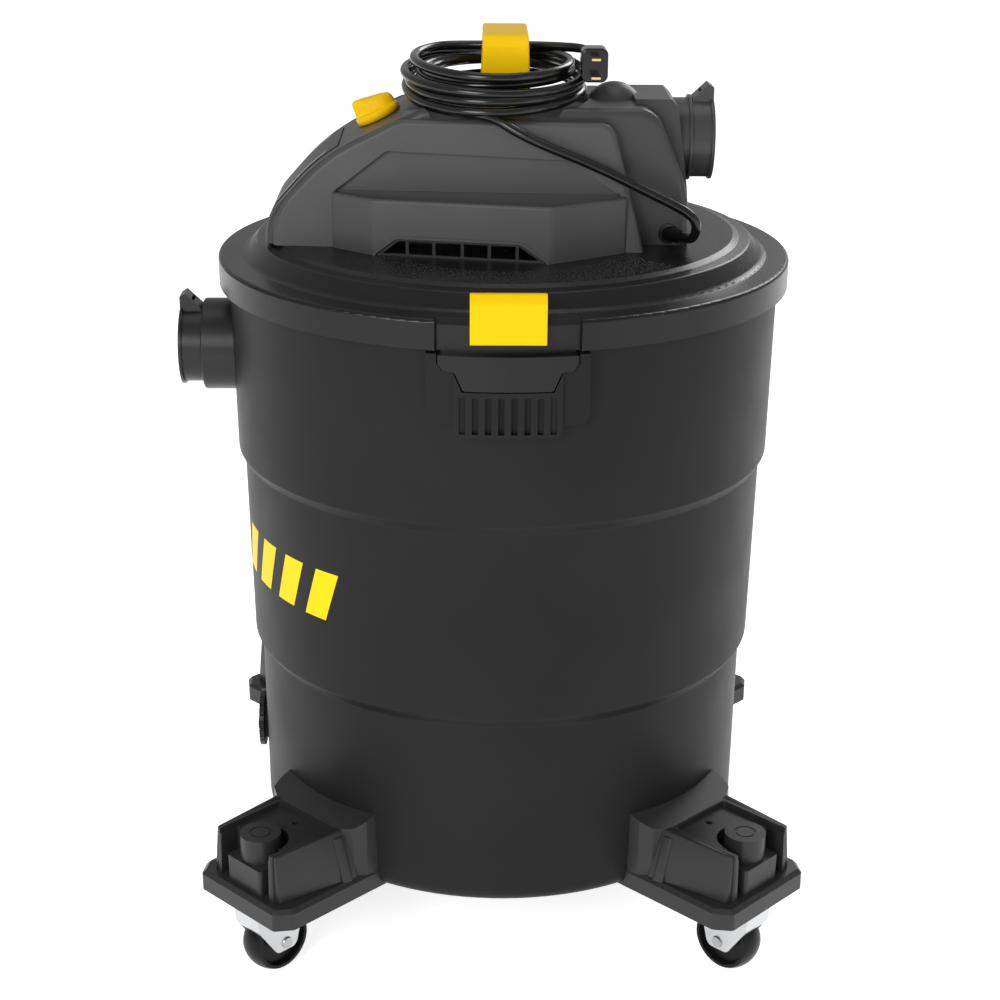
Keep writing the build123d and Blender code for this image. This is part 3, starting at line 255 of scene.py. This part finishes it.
FILTER_PAPER = Finish("filter_paper", (0.72, 0.67, 0.55), 0.85, grain=Grain.PAPER,
                      grain_depth=0.35, scuff=0.0)
FRAME_GREY = Finish("frame_grey", (0.12, 0.12, 0.125), 0.5)

NODE_FINISHES: dict[Finish, list[str]] = {
    DRUM_BLACK: ["tank"],
    LID_BLACK: ["lid"],
    HEAD_BLACK: ["head_housing"],
    COVER_GREY: ["side_cover_left", "side_cover_right"],
    BLOWER_GREY: ["blower_port"],
    FITTING_BLACK: ["inlet_port", "inlet_deflector", "drain_cap", "impeller_housing", "filter_cage",
                    "switch_body", "brush_holders"],
    FOOT_BLACK: [f"caster_pod_{corner}" for corner in CORNERS],
    GRILLE_BLACK: ["vent_grille_left", "vent_grille_right"],
    YELLOW: ["carry_handle", "latch_left", "latch_right", "power_knob"],
    WHEEL_BLACK: [f"caster_wheel_{corner}" for corner in CORNERS],
    CORD_BLACK: ["cord_tail", "cord_coil", "plug_body", "strain_relief"],
    SEAL_RUBBER: ["lid_gasket", "drain_seal"],
    ZINC: [f"caster_fork_{corner}" for corner in CORNERS] + ["pod_screws", "cage_screws",
                                                              "housing_screws", "handle_screws"],
    STEEL: [f"caster_axle_{corner}" for corner in CORNERS] + ["latch_pins", "motor_bearings"],
    LAMINATION: ["motor_stator", "armature"],
    COPPER: ["stator_windings"],
    BRASS: ["plug_blades"],
    CARBON: ["carbon_brushes"],
    LABEL_FILM: ["front_label"],
    NATURAL_WHITE: ["impeller", "cooling_fan", "float_ball"],
    FILTER_PAPER: ["cartridge_filter"],
    FRAME_GREY: ["motor_bracket", "filter_retainer"],
}


# ---- mesh helpers ----------------------------------------------------------
def mesh_piece(name: str, verts: list[Point], faces: list[tuple[int, ...]], finish: Finish,
               body: str, smooth: bool = True) -> bpy.types.Object:
    """Make a mesh object that rides on a body.

    Args:
        name: the piece's name.
        verts: points in the shared frame.
        faces: faces by point number.
        finish: the material.
        body: the CAD body that it rides on.
        smooth: whether its faces are shaded smooth.

    Returns:
        The new object.
    """
    mesh = bpy.data.meshes.new(name)
    mesh.from_pydata(verts, [], faces)
    mesh.materials.append(finish.build())
    mesh.polygons.foreach_set("use_smooth", [smooth] * len(mesh.polygons))
    mesh.update()
    piece = bpy.data.objects.new(name, mesh)
    bpy.context.scene.collection.objects.link(piece)
    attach(piece, body)
    return piece


@dataclass
class SoftEdges:
    """A CAD solid's own shape with its sharp edges rounded, as a moulding's are."""

    node: str
    finish: Finish
    body: str
    slot: str
    width: float = 0.0008
    segments: int = 2
    angle: float = 28.0

    def build(self) -> bpy.types.Object:
        """Copy the solid, round its edges and let the copy stand for it.

        Returns:
            The new object.
        """
        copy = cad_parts[self.node].data.copy()
        shape = bmesh.new()
        shape.from_mesh(copy)
        bmesh.ops.remove_doubles(shape, verts=shape.verts, dist=1e-5)
        bmesh.ops.dissolve_limit(shape, angle_limit=math.radians(0.4), verts=shape.verts, edges=shape.edges)
        for face in shape.faces:
            face.smooth = True
        mesh = bpy.data.meshes.new(f"{self.node}_soft")
        shape.to_mesh(mesh)
        shape.free()
        bpy.data.meshes.remove(copy)
        draft = bpy.data.objects.new(f"{self.node}_draft", mesh)
        bpy.context.scene.collection.objects.link(draft)
        rounding = draft.modifiers.new("rounding", "BEVEL")
        rounding.width = self.width
        rounding.segments = self.segments
        rounding.limit_method = "ANGLE"
        rounding.angle_limit = math.radians(self.angle)
        rounding.miter_outer = "MITER_SHARP"
        rounding.use_clamp_overlap = True
        rounding.harden_normals = True
        shades = draft.modifiers.new("shades", "WEIGHTED_NORMAL")
        shades.keep_sharp = True
        bpy.context.view_layer.update()
        ready = draft.evaluated_get(bpy.context.evaluated_depsgraph_get())
        final = bpy.data.meshes.new_from_object(ready)
        bpy.data.objects.remove(draft)
        final.materials.clear()
        final.materials.append(self.finish.build())
        piece = bpy.data.objects.new(f"{self.node}_moulding", final)
        bpy.context.scene.collection.objects.link(piece)
        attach(piece, self.body)
        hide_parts(self.node)
        LOG.info("%s, %d faces", piece.name, len(final.polygons))
        return piece


SOFTENED = [
    SoftEdges("head_housing", HEAD_BLACK, "lid", "black_plastic"),
    SoftEdges("side_cover_left", COVER_GREY, "lid", "grey_plastic", width=0.0012),
    SoftEdges("side_cover_right", COVER_GREY, "lid", "grey_plastic", width=0.0012),
    SoftEdges("carry_handle", YELLOW, "lid", "yellow_plastic", width=0.0012),
    SoftEdges("latch_left", YELLOW, "latch_left", "yellow_plastic", width=0.0014),
    SoftEdges("latch_right", YELLOW, "latch_right", "yellow_plastic", width=0.0014),
    SoftEdges("blower_port", BLOWER_GREY, "lid", "black_plastic"),
    SoftEdges("inlet_port", FITTING_BLACK, "drum", "black_plastic"),
] + [SoftEdges(f"caster_pod_{corner}", FOOT_BLACK, "drum", "black_plastic", width=0.0011)
     for corner in CORNERS]


# ---- studio ----------------------------------------------------------------
@dataclass
class Studio:
    """Pale floor, soft lights and the camera."""

    camera_place: Point = (-0.0248, -1.441, 0.852)
    pitch: float = 20.65
    pan: float = 0.935
    roll: float = 0.428
    lens: float = 71.22
    floor_half: float = 9.0

    def build(self) -> None:
        """Make the camera, the floor and the lights."""
        self._camera()
        self._floor()
        self._lights()

    def _camera(self) -> None:
        """Aim the camera by its pitch, pan and roll."""
        pitch, pan, roll = (math.radians(a) for a in (self.pitch, self.pan, self.roll))
        ahead = Vector((math.sin(pan) * math.cos(pitch), math.cos(pan) * math.cos(pitch), -math.sin(pitch)))
        level = ahead.cross(Vector((0, 0, 1))).normalized()
        above = level.cross(ahead)
        right = level * math.cos(roll) + above * math.sin(roll)
        up = above * math.cos(roll) - level * math.sin(roll)
        data = bpy.data.cameras.new("camera")
        data.lens = self.lens
        data.sensor_width = 36.0
        camera = bpy.data.objects.new("camera", data)
        camera.matrix_world = Matrix.Translation(self.camera_place) @ Matrix(
            (right, up, -ahead)).transposed().to_4x4()
        bpy.context.scene.collection.objects.link(camera)
        bpy.context.scene.camera = camera

    def _floor(self) -> None:
        """Lay one pale sheet as the floor."""
        half = self.floor_half
        mesh = bpy.data.meshes.new("floor")
        mesh.from_pydata([(-half, -half, 0), (half, -half, 0), (half, half, 0), (-half, half, 0)], [],
                         [(0, 1, 2, 3)])
        material = bpy.data.materials.new("floor_paper")
        material.use_nodes = True
        shader = material.node_tree.nodes["Principled BSDF"]
        shader.inputs["Base Color"].default_value = (0.93, 0.93, 0.93, 1.0)
        shader.inputs["Emission Color"].default_value = (1.0, 1.0, 1.0, 1.0)
        shader.inputs["Emission Strength"].default_value = 0.74
        shader.inputs["Roughness"].default_value = 0.9
        shader.inputs["Specular IOR Level"].default_value = 0.1
        mesh.materials.append(material)
        floor = bpy.data.objects.new("floor", mesh)
        bpy.context.scene.collection.objects.link(floor)

    def _lights(self) -> None:
        """Hang the soft lights and light the air around them."""
        world = bpy.data.worlds.new("studio_air")
        world.use_nodes = True
        world.node_tree.nodes["Background"].inputs["Color"].default_value = (1.0, 1.0, 1.0, 1.0)
        world.node_tree.nodes["Background"].inputs["Strength"].default_value = 0.46
        bpy.context.scene.world = world
        for name, place, target, size, power in (
            ("key_light", (-1.3, -2.7, 1.5), (0, 0, 0.42), 1.5, 50.0),
            ("fill_light", (2.4, -1.8, 0.9), (0, 0, 0.35), 1.6, 6.0),
            ("rim_light", (1.4, 2.4, 1.9), (0, 0, 0.5), 1.4, 24.0),
            ("top_light", (0.1, 0.2, 2.8), (0, 0, 0.5), 1.5, 8.0),
        ):
            data = bpy.data.lights.new(name, "AREA")
            data.shape = "DISK"
            data.size = size
            data.energy = power
            light = bpy.data.objects.new(name, data)
            light.location = place
            light.rotation_mode = "QUATERNION"
            light.rotation_quaternion = (Vector(target) - Vector(place)).to_track_quat("-Z", "Y")
            bpy.context.scene.collection.objects.link(light)
        bpy.context.scene.view_settings.view_transform = "Standard"


# ---- cord ------------------------------------------------------------------
@dataclass
class MainsCord:
    """Mains lead: a free tail, loose turns round the handle and a plug."""

    diameter: float = 0.0068
    exit: Point = (0.125353, -0.070197, 0.5335)
    tail: list[Point] = field(default_factory=lambda: [
        (0.125353, -0.070197, 0.5335), (0.130854, -0.078549, 0.5335), (0.1334, -0.0832, 0.5415),
        (0.1322, -0.0846, 0.5490), (0.1260, -0.0838, 0.5546), (0.1170, -0.0830, 0.5594),
        (0.1062, -0.0828, 0.5646), (0.0940, -0.0834, 0.5706), (0.0800, -0.0836, 0.5776),
        (0.0635, -0.0826, 0.5852), (0.0455, -0.0804, 0.5924), (0.0260, -0.0780, 0.5996),
        (0.0080, -0.0746, 0.6074), (-0.0060, -0.0700, 0.6156)])
    centre: tuple[float, float] = (-0.008, 0.0)
    per_turn: int = 18
    start_angle: float = 262.0
    turns: tuple[tuple[float, float, float, float], ...] = (
        (0.0600, 0.0700, 0.6215, 0.0030), (0.0645, 0.0722, 0.6275, 0.0060), (0.0622, 0.0700, 0.6340, 0.0075),
        (0.0665, 0.0690, 0.6395, 0.0060), (0.0540, 0.0590, 0.6400, 0.0025), (0.0462, 0.0500, 0.6375, -0.0010),
        (0.0585, 0.0640, 0.6475, 0.0030))
    last_share: float = 0.44
    plug_entry: tuple[Point, ...] = (
        (0.0560, 0.0330, 0.6520), (0.0612, 0.0160, 0.6498), (0.0625, 0.0030, 0.6480),
        (0.0625, -0.0080, 0.6480))

    def coil_points(self) -> list[Point]:
        """Work out the loose turns, one after another, clockwise from above.

        Returns:
            The turns' points, from the tail's end to the plug.
        """
        points = []
        start = math.radians(self.start_angle)
        total = (len(self.turns) - 1) * self.per_turn + int(self.last_share * self.per_turn)
        for step in range(total + 1):
            at = step / self.per_turn
            lower = min(int(at), len(self.turns) - 1)
            upper = min(lower + 1, len(self.turns) - 1)
            part = at - int(at)
            ease = part * part * (3.0 - 2.0 * part)
            wide, deep, high, lift = (a + (b - a) * ease
                                      for a, b in zip(self.turns[lower], self.turns[upper]))
            angle = start - math.tau * at
            wobble = 1.0 + 0.012 * math.sin(2.0 * angle + 1.9 * at) + 0.008 * math.sin(3.0 * angle + at)
            back = math.sin(angle)
            points.append((self.centre[0] + wide * wobble * math.cos(angle),
                           self.centre[1] + deep * wobble * math.sin(angle),
                           high + lift * back + 0.0012 * math.sin(2.0 * angle + 2.3 * at)))
        return points

    def build(self, plug: bpy.types.Object) -> bpy.types.Object:
        """Args:
            plug: the plug's moulding, which sits on the cord's far end; not used.

        Returns:
            The cord's curve.
        """
        route = self.tail + self.coil_points() + list(self.plug_entry)
        data = bpy.data.curves.new("mains_cord", "CURVE")
        data.dimensions = "3D"
        spline = data.splines.new("NURBS")
        spline.points.add(len(route) - 1)
        for point, place in zip(spline.points, route):
            point.co = (*place, 1.0)
        spline.order_u = 3
        spline.use_endpoint_u = True
        data.resolution_u = 5
        data.bevel_depth = self.diameter / 2
        data.bevel_resolution = 4
        data.use_fill_caps = True
        data.materials.append(CORD_BLACK.build())
        cord = bpy.data.objects.new("mains_cord", data)
        bpy.context.scene.collection.objects.link(cord)
        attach(cord, "lid")
        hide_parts("cord_tail", "cord_coil")
        return cord


# ---- drum ------------------------------------------------------------------
@dataclass
class DrumMark:
    """Plain slanted bars printed on the front of the drum, in place of a name."""

    radius: float = 0.1949
    low: float = 0.272
    high: float = 0.310
    first: float = 182.2
    pitch: float = 10.6
    width: float = 6.4
    slant: float = 4.0
    bars: int = 5

    def build(self) -> bpy.types.Object:
        """Wrap the bars round the drum, on both sides of its front.

        Returns:
            The bars as one object.
        """
        verts: list[Point] = []
        faces: list[tuple[int, ...]] = []
        across, rise = 8, 4
        starts = [self.first + self.pitch * n for n in range(self.bars)]
        starts += [self.first - self.pitch * (n + 1) for n in range(self.bars)]
        for start in starts:
            base = len(verts)
            for row in range(rise + 1):
                up = row / rise
                height = self.low + (self.high - self.low) * up
                swell = self.radius + 0.0187 * (height - 0.3)
                for column in range(across + 1):
                    angle = math.radians(start + self.width * column / across + self.slant * (up - 0.5))
                    verts.append((swell * math.cos(angle), swell * math.sin(angle), height))
            for row in range(rise):
                for column in range(across):
                    a = base + row * (across + 1) + column
                    faces.append((a, a + 1, a + across + 2, a + across + 1))
        mark = mesh_piece("drum_mark", verts, faces, MARK_YELLOW, "drum")
        return mark


# ---- lid stipple -----------------------------------------------------------
@dataclass
class StipplePatch:
    """Coarse moulded stipple on the lid in front of a side cover, made by Geometry Nodes."""

    inner: float = 0.116
    outer: float = 0.170
    half_sweep: float = 44.0
    density: float = 260000.0
    grain: float = 0.00050
    side: float = -1.0

    def _surface(self) -> bpy.types.Mesh:
        """Lay a fan-shaped sheet on the lid's top.

        Returns:
            The sheet that the grains are scattered on.
        """
        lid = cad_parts["lid"]
        shape = bmesh.new()
        rows, columns = 8, 40
        grid = []
        for row in range(rows + 1):
            for column in range(columns + 1):
                share = column / columns * 2.0 - 1.0
                inner = self.inner + 0.020 * (1.0 - share * share)
                radius = inner + (self.outer - inner) * row / rows
                angle = math.radians(90.0 * self.side + self.half_sweep * share)
                x, y = radius * math.cos(angle), radius * math.sin(angle)
                hit, place, _, _ = lid.ray_cast((x, y, 0.56), (0, 0, -1))
                grid.append(shape.verts.new((x, y, place.z if hit else 0.525)))
        for row in range(rows):
            for column in range(columns):
                a = row * (columns + 1) + column
                shape.faces.new((grid[a], grid[a + columns + 1], grid[a + columns + 2], grid[a + 1]))
        bmesh.ops.recalc_face_normals(shape, faces=shape.faces)
        mesh = bpy.data.meshes.new("stipple_sheet")
        shape.to_mesh(mesh)
        shape.free()
        return mesh

    def _tree(self) -> bpy.types.NodeTree:
        """Build the node tree that scatters the grains.

        Returns:
            The new tree.
        """
        tree = bpy.data.node_groups.new("stipple_grains", "GeometryNodeTree")
        face = tree.interface
        face.new_socket(name="Sheet", in_out="INPUT", socket_type="NodeSocketGeometry")
        face.new_socket(name="Density", in_out="INPUT", socket_type="NodeSocketFloat")
        face.new_socket(name="Grain Size", in_out="INPUT", socket_type="NodeSocketFloat")
        face.new_socket(name="Grains", in_out="OUTPUT", socket_type="NodeSocketGeometry")
        tools = NodeTools(tree)
        inputs = tools.add("NodeGroupInput")
        outputs = tools.add("NodeGroupOutput")
        spread = tools.add("GeometryNodeDistributePointsOnFaces", distribute_method="RANDOM")
        spread.inputs["Seed"].default_value = 7
        grain = tools.add("GeometryNodeMeshIcoSphere")
        grain.inputs["Subdivisions"].default_value = 1
        place = tools.add("GeometryNodeInstanceOnPoints")
        sizes = tools.add("FunctionNodeRandomValue", data_type="FLOAT")
        sizes.inputs[2].default_value = 0.55
        sizes.inputs[3].default_value = 1.25
        sizes.inputs["Seed"].default_value = 11
        real = tools.add("GeometryNodeRealizeInstances")
        finish = tools.add("GeometryNodeSetMaterial")
        finish.inputs["Material"].default_value = STIPPLE_BLACK.build()
        tools.wire(inputs.outputs["Sheet"], spread.inputs["Mesh"])
        tools.wire(inputs.outputs["Density"], spread.inputs["Density"])
        tools.wire(inputs.outputs["Grain Size"], grain.inputs["Radius"])
        tools.wire(spread.outputs["Points"], place.inputs["Points"])
        tools.wire(grain.outputs["Mesh"], place.inputs["Instance"])
        tools.wire(sizes.outputs[1], place.inputs["Scale"])
        tools.wire(place.outputs["Instances"], real.inputs[0])
        tools.wire(real.outputs[0], finish.inputs["Geometry"])
        tools.wire(finish.outputs[0], outputs.inputs["Grains"])
        return tree

    def build(self) -> bpy.types.Object:
        """Scatter the grains and keep them as one plain mesh.

        Returns:
            The patch as one object.
        """
        name = "lid_stipple_left" if self.side < 0 else "lid_stipple_right"
        tree = bpy.data.node_groups.get("stipple_grains") or self._tree()
        draft = bpy.data.objects.new(f"{name}_draft", self._surface())
        bpy.context.scene.collection.objects.link(draft)
        scatter = draft.modifiers.new("scatter", "NODES")
        scatter.node_group = tree
        sockets = {item.name: item.identifier for item in tree.interface.items_tree}
        scatter[sockets["Density"]] = self.density
        scatter[sockets["Grain Size"]] = self.grain
        bpy.context.view_layer.update()
        ready = draft.evaluated_get(bpy.context.evaluated_depsgraph_get())
        mesh = bpy.data.meshes.new_from_object(ready)
        bpy.data.objects.remove(draft)
        piece = bpy.data.objects.new(name, mesh)
        bpy.context.scene.collection.objects.link(piece)
        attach(piece, "lid")
        LOG.info("%s, %d faces", name, len(mesh.polygons))
        return piece


# ---- feet ------------------------------------------------------------------
@dataclass
class FootSkirts:
    """Sloping cheeks that run from a foot's walls down to the edge of its flange."""

    corner: str
    back: float = 0.1985
    front: float = 0.2640
    floor: float = 0.0776
    top_back: float = 0.1154
    top_front: float = 0.1146
    wall: float = 0.0302
    spread_back: float = 0.0485
    spread_front: float = 0.0372
    crest_back: float = 0.0372
    crest_front: float = 0.0330
    band: tuple[float, float] = (0.2045, 0.2130)
    band_proud: float = 0.0024

    def _cheek(self, shape: bmesh.types.BMesh, side: float) -> None:
        """Add one cheek and its raised band.

        Args:
            shape: the mesh that the cheek is added to.
            side: -1 or 1, the side of the foot.
        """

        def outer(radius: float, up: float, proud: float = 0.0) -> float:
            """Find how far out the cheek's face stands.

            Args:
                radius: distance from the drum's axis.
                up: 0 at the cheek's foot, 1 at its crest.
                proud: how far a raised band stands off the face.

            Returns:
                The distance from the foot's middle plane.
            """
            along = (radius - self.back) / (self.front - self.back)
            low = self.spread_back + (self.spread_front - self.spread_back) * along
            high = self.crest_back + (self.crest_front - self.crest_back) * along
            return low + (high - low) * up + proud

        def top(radius: float) -> float:
            """Find the height of the cheek's upper edge.

            Args:
                radius: distance from the drum's axis.

            Returns:
                The height above the floor.
            """
            along = (radius - self.back) / (self.front - self.back)
            return self.top_back + (self.top_front - self.top_back) * along

        for start, end, proud, lift in ((self.back, self.front, 0.0, 0.0),
                                        (*self.band, self.band_proud, -0.004)):
            corners = []
            for radius in (start, end):
                corners += [(radius, self.wall, self.floor), (radius, outer(radius, 0.0, proud), self.floor),
                            (radius, outer(radius, 1.0, proud), top(radius) + lift),
                            (radius, self.wall, top(radius) + lift)]
            verts = [shape.verts.new((u, side * v, z)) for u, v, z in corners]
            for loop in ((0, 1, 2, 3), (7, 6, 5, 4), (0, 4, 5, 1), (1, 5, 6, 2), (2, 6, 7, 3), (3, 7, 4, 0)):
                shape.faces.new([verts[i] for i in loop])

    def build(self) -> bpy.types.Object:
        """Make both cheeks with rounded edges and turn them to their corner.

        Returns:
            Both cheeks as one object.
        """
        shape = bmesh.new()
        self._cheek(shape, 1.0)
        self._cheek(shape, -1.0)
        bmesh.ops.recalc_face_normals(shape, faces=shape.faces)
        bmesh.ops.bevel(shape, geom=list(shape.edges), offset=0.0014, segments=3, profile=0.5,
                        affect="EDGES", clamp_overlap=True)
        turn = Matrix.Rotation(math.radians(CORNERS[self.corner]), 4, "Z")
        bmesh.ops.transform(shape, matrix=turn, verts=shape.verts)
        mesh = bpy.data.meshes.new(f"foot_cheeks_{self.corner}")
        shape.to_mesh(mesh)
        shape.free()
        mesh.materials.append(FOOT_BLACK.build())
        mesh.polygons.foreach_set("use_smooth", [True] * len(mesh.polygons))
        piece = bpy.data.objects.new(mesh.name, mesh)
        bpy.context.scene.collection.objects.link(piece)
        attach(piece, "drum")
        return piece


# ---- label -----------------------------------------------------------------
@dataclass
class LabelStripes:
    """Plain silver stripes along both sides of the dark film on the front slope."""

    spans: tuple[tuple[float, float], ...] = ((-0.0345, -0.0315), (-0.0290, -0.0280), (0.0280, 0.0290),
                                              (0.0315, 0.0345))
    low: float = 0.5400
    high: float = 0.5860
    rows: int = 24
    proud: float = 0.00025

    def build(self) -> bpy.types.Object:
        """Lay the stripes on the film.

        Returns:
            The stripes as one object.
        """
        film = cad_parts["front_label"]
        verts: list[Point] = []
        faces: list[tuple[int, ...]] = []
        for left, right in self.spans:
            base = len(verts)
            for row in range(self.rows + 1):
                height = self.low + (self.high - self.low) * row / self.rows
                for y in (left, right):
                    hit, place, normal, _ = film.ray_cast((-0.4, y, height), (1.0, 0.0, 0.0))
                    if hit:
                        place = place + normal * self.proud
                        verts.append((place.x, place.y, place.z))
            rows = (len(verts) - base) // 2
            faces += [(base + 2 * n, base + 2 * n + 2, base + 2 * n + 3, base + 2 * n + 1)
                      for n in range(rows - 1)]
        stripes = mesh_piece("label_stripes", verts, faces, LABEL_SILVER, "lid")
        return stripes


# ---- power knob ------------------------------------------------------------
@dataclass
class PowerKnob:
    """Rotary knob with a broad grip bar that points up the slope."""

    origin: Point = (-0.0905, 0.0, 0.605608)
    normal: Point = (-0.430176, 0.0, 0.902745)
    radius: float = 0.0166
    skirt: float = 0.0062
    bar_half: float = 0.0160
    bar_width: float = 0.0092
    bar_front: float = 0.0185
    bar_back: float = 0.0135

    def build(self) -> bpy.types.Object:
        """Make the disc and the bar on it, and set them on the facet.

        Returns:
            The knob as one object.
        """
        shape = bmesh.new()
        steps = 64
        rings = []
        for radius, height in ((self.radius, 0.0006), (self.radius, self.skirt - 0.0012),
                               (self.radius - 0.0012, self.skirt), (0.004, self.skirt + 0.0006)):
            rings.append([shape.verts.new((radius * math.cos(math.tau * n / steps),
                                           radius * math.sin(math.tau * n / steps), height))
                          for n in range(steps)])
        for low, high in zip(rings, rings[1:]):
            for n in range(steps):
                shape.faces.new((low[n], low[(n + 1) % steps], high[(n + 1) % steps], high[n]))
        shape.faces.new(list(reversed(rings[0])))
        shape.faces.new(rings[-1])
        lower = []
        upper = []
        for x, y in ((-self.bar_half, -0.4), (-self.bar_half, 0.4), (-0.4 * self.bar_half, 1.0),
                     (0.6 * self.bar_half, 1.0), (self.bar_half, 0.4), (self.bar_half, -0.4),
                     (0.6 * self.bar_half, -1.0), (-0.4 * self.bar_half, -1.0)):
            share = (x + self.bar_half) / (2.0 * self.bar_half)
            height = self.bar_front + (self.bar_back - self.bar_front) * share
            lower.append(shape.verts.new((x, y * self.bar_width, 0.003)))
            upper.append(shape.verts.new((0.9 * x, 0.8 * y * self.bar_width, height)))
        count = len(lower)
        bar_faces = [shape.faces.new((lower[(n + 1) % count], lower[n], upper[n], upper[(n + 1) % count]))
                     for n in range(count)]
        bar_faces += [shape.faces.new(upper), shape.faces.new(list(reversed(lower)))]
        bar_edges = {edge for face in bar_faces for edge in face.edges}
        bmesh.ops.recalc_face_normals(shape, faces=shape.faces)
        bmesh.ops.bevel(shape, geom=list(bar_edges), offset=0.0034, segments=5, profile=0.5,
                        affect="EDGES", clamp_overlap=True)
        across = Vector((0.0, 1.0, 0.0))
        along = across.cross(Vector(self.normal)).normalized()
        facet = Matrix((along, across, Vector(self.normal).normalized())).transposed().to_4x4()
        bmesh.ops.transform(shape, matrix=Matrix.Translation(self.origin) @ facet, verts=shape.verts)
        mesh = bpy.data.meshes.new("knob_grip")
        shape.to_mesh(mesh)
        shape.free()
        mesh.materials.append(YELLOW.build())
        mesh.polygons.foreach_set("use_smooth", [True] * len(mesh.polygons))
        piece = bpy.data.objects.new("knob_grip", mesh)
        bpy.context.scene.collection.objects.link(piece)
        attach(piece, "power_knob")
        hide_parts("power_knob")
        return piece


# ---- frame -----------------------------------------------------------------
def dress_frame() -> None:
    """Give every CAD node its finish."""
    for finish, nodes in NODE_FINISHES.items():
        material = finish.build()
        for name in nodes:
            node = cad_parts[name]
            node.data.materials.clear()
            node.data.materials.append(material)
        LOG.info("%s on %d nodes", finish.name, len(nodes))


def main() -> None:
    """Build the studio, the cord and every dressed piece."""
    logging.basicConfig(level=logging.INFO, format="%(message)s")
    moulded_surface_group()
    Studio().build()
    plug = SoftEdges("plug_body", CORD_BLACK, "lid", "cord_jacket", width=0.0012).build()
    MainsCord().build(plug)
    dress_frame()
    for moulding in SOFTENED:
        moulding.build()
    DrumMark().build()
    StipplePatch(side=-1.0).build()
    StipplePatch(side=1.0).build()
    for corner in CORNERS:
        FootSkirts(corner).build()
    PowerKnob().build()
    LabelStripes().build()


if __name__ == "__main__":
    main()
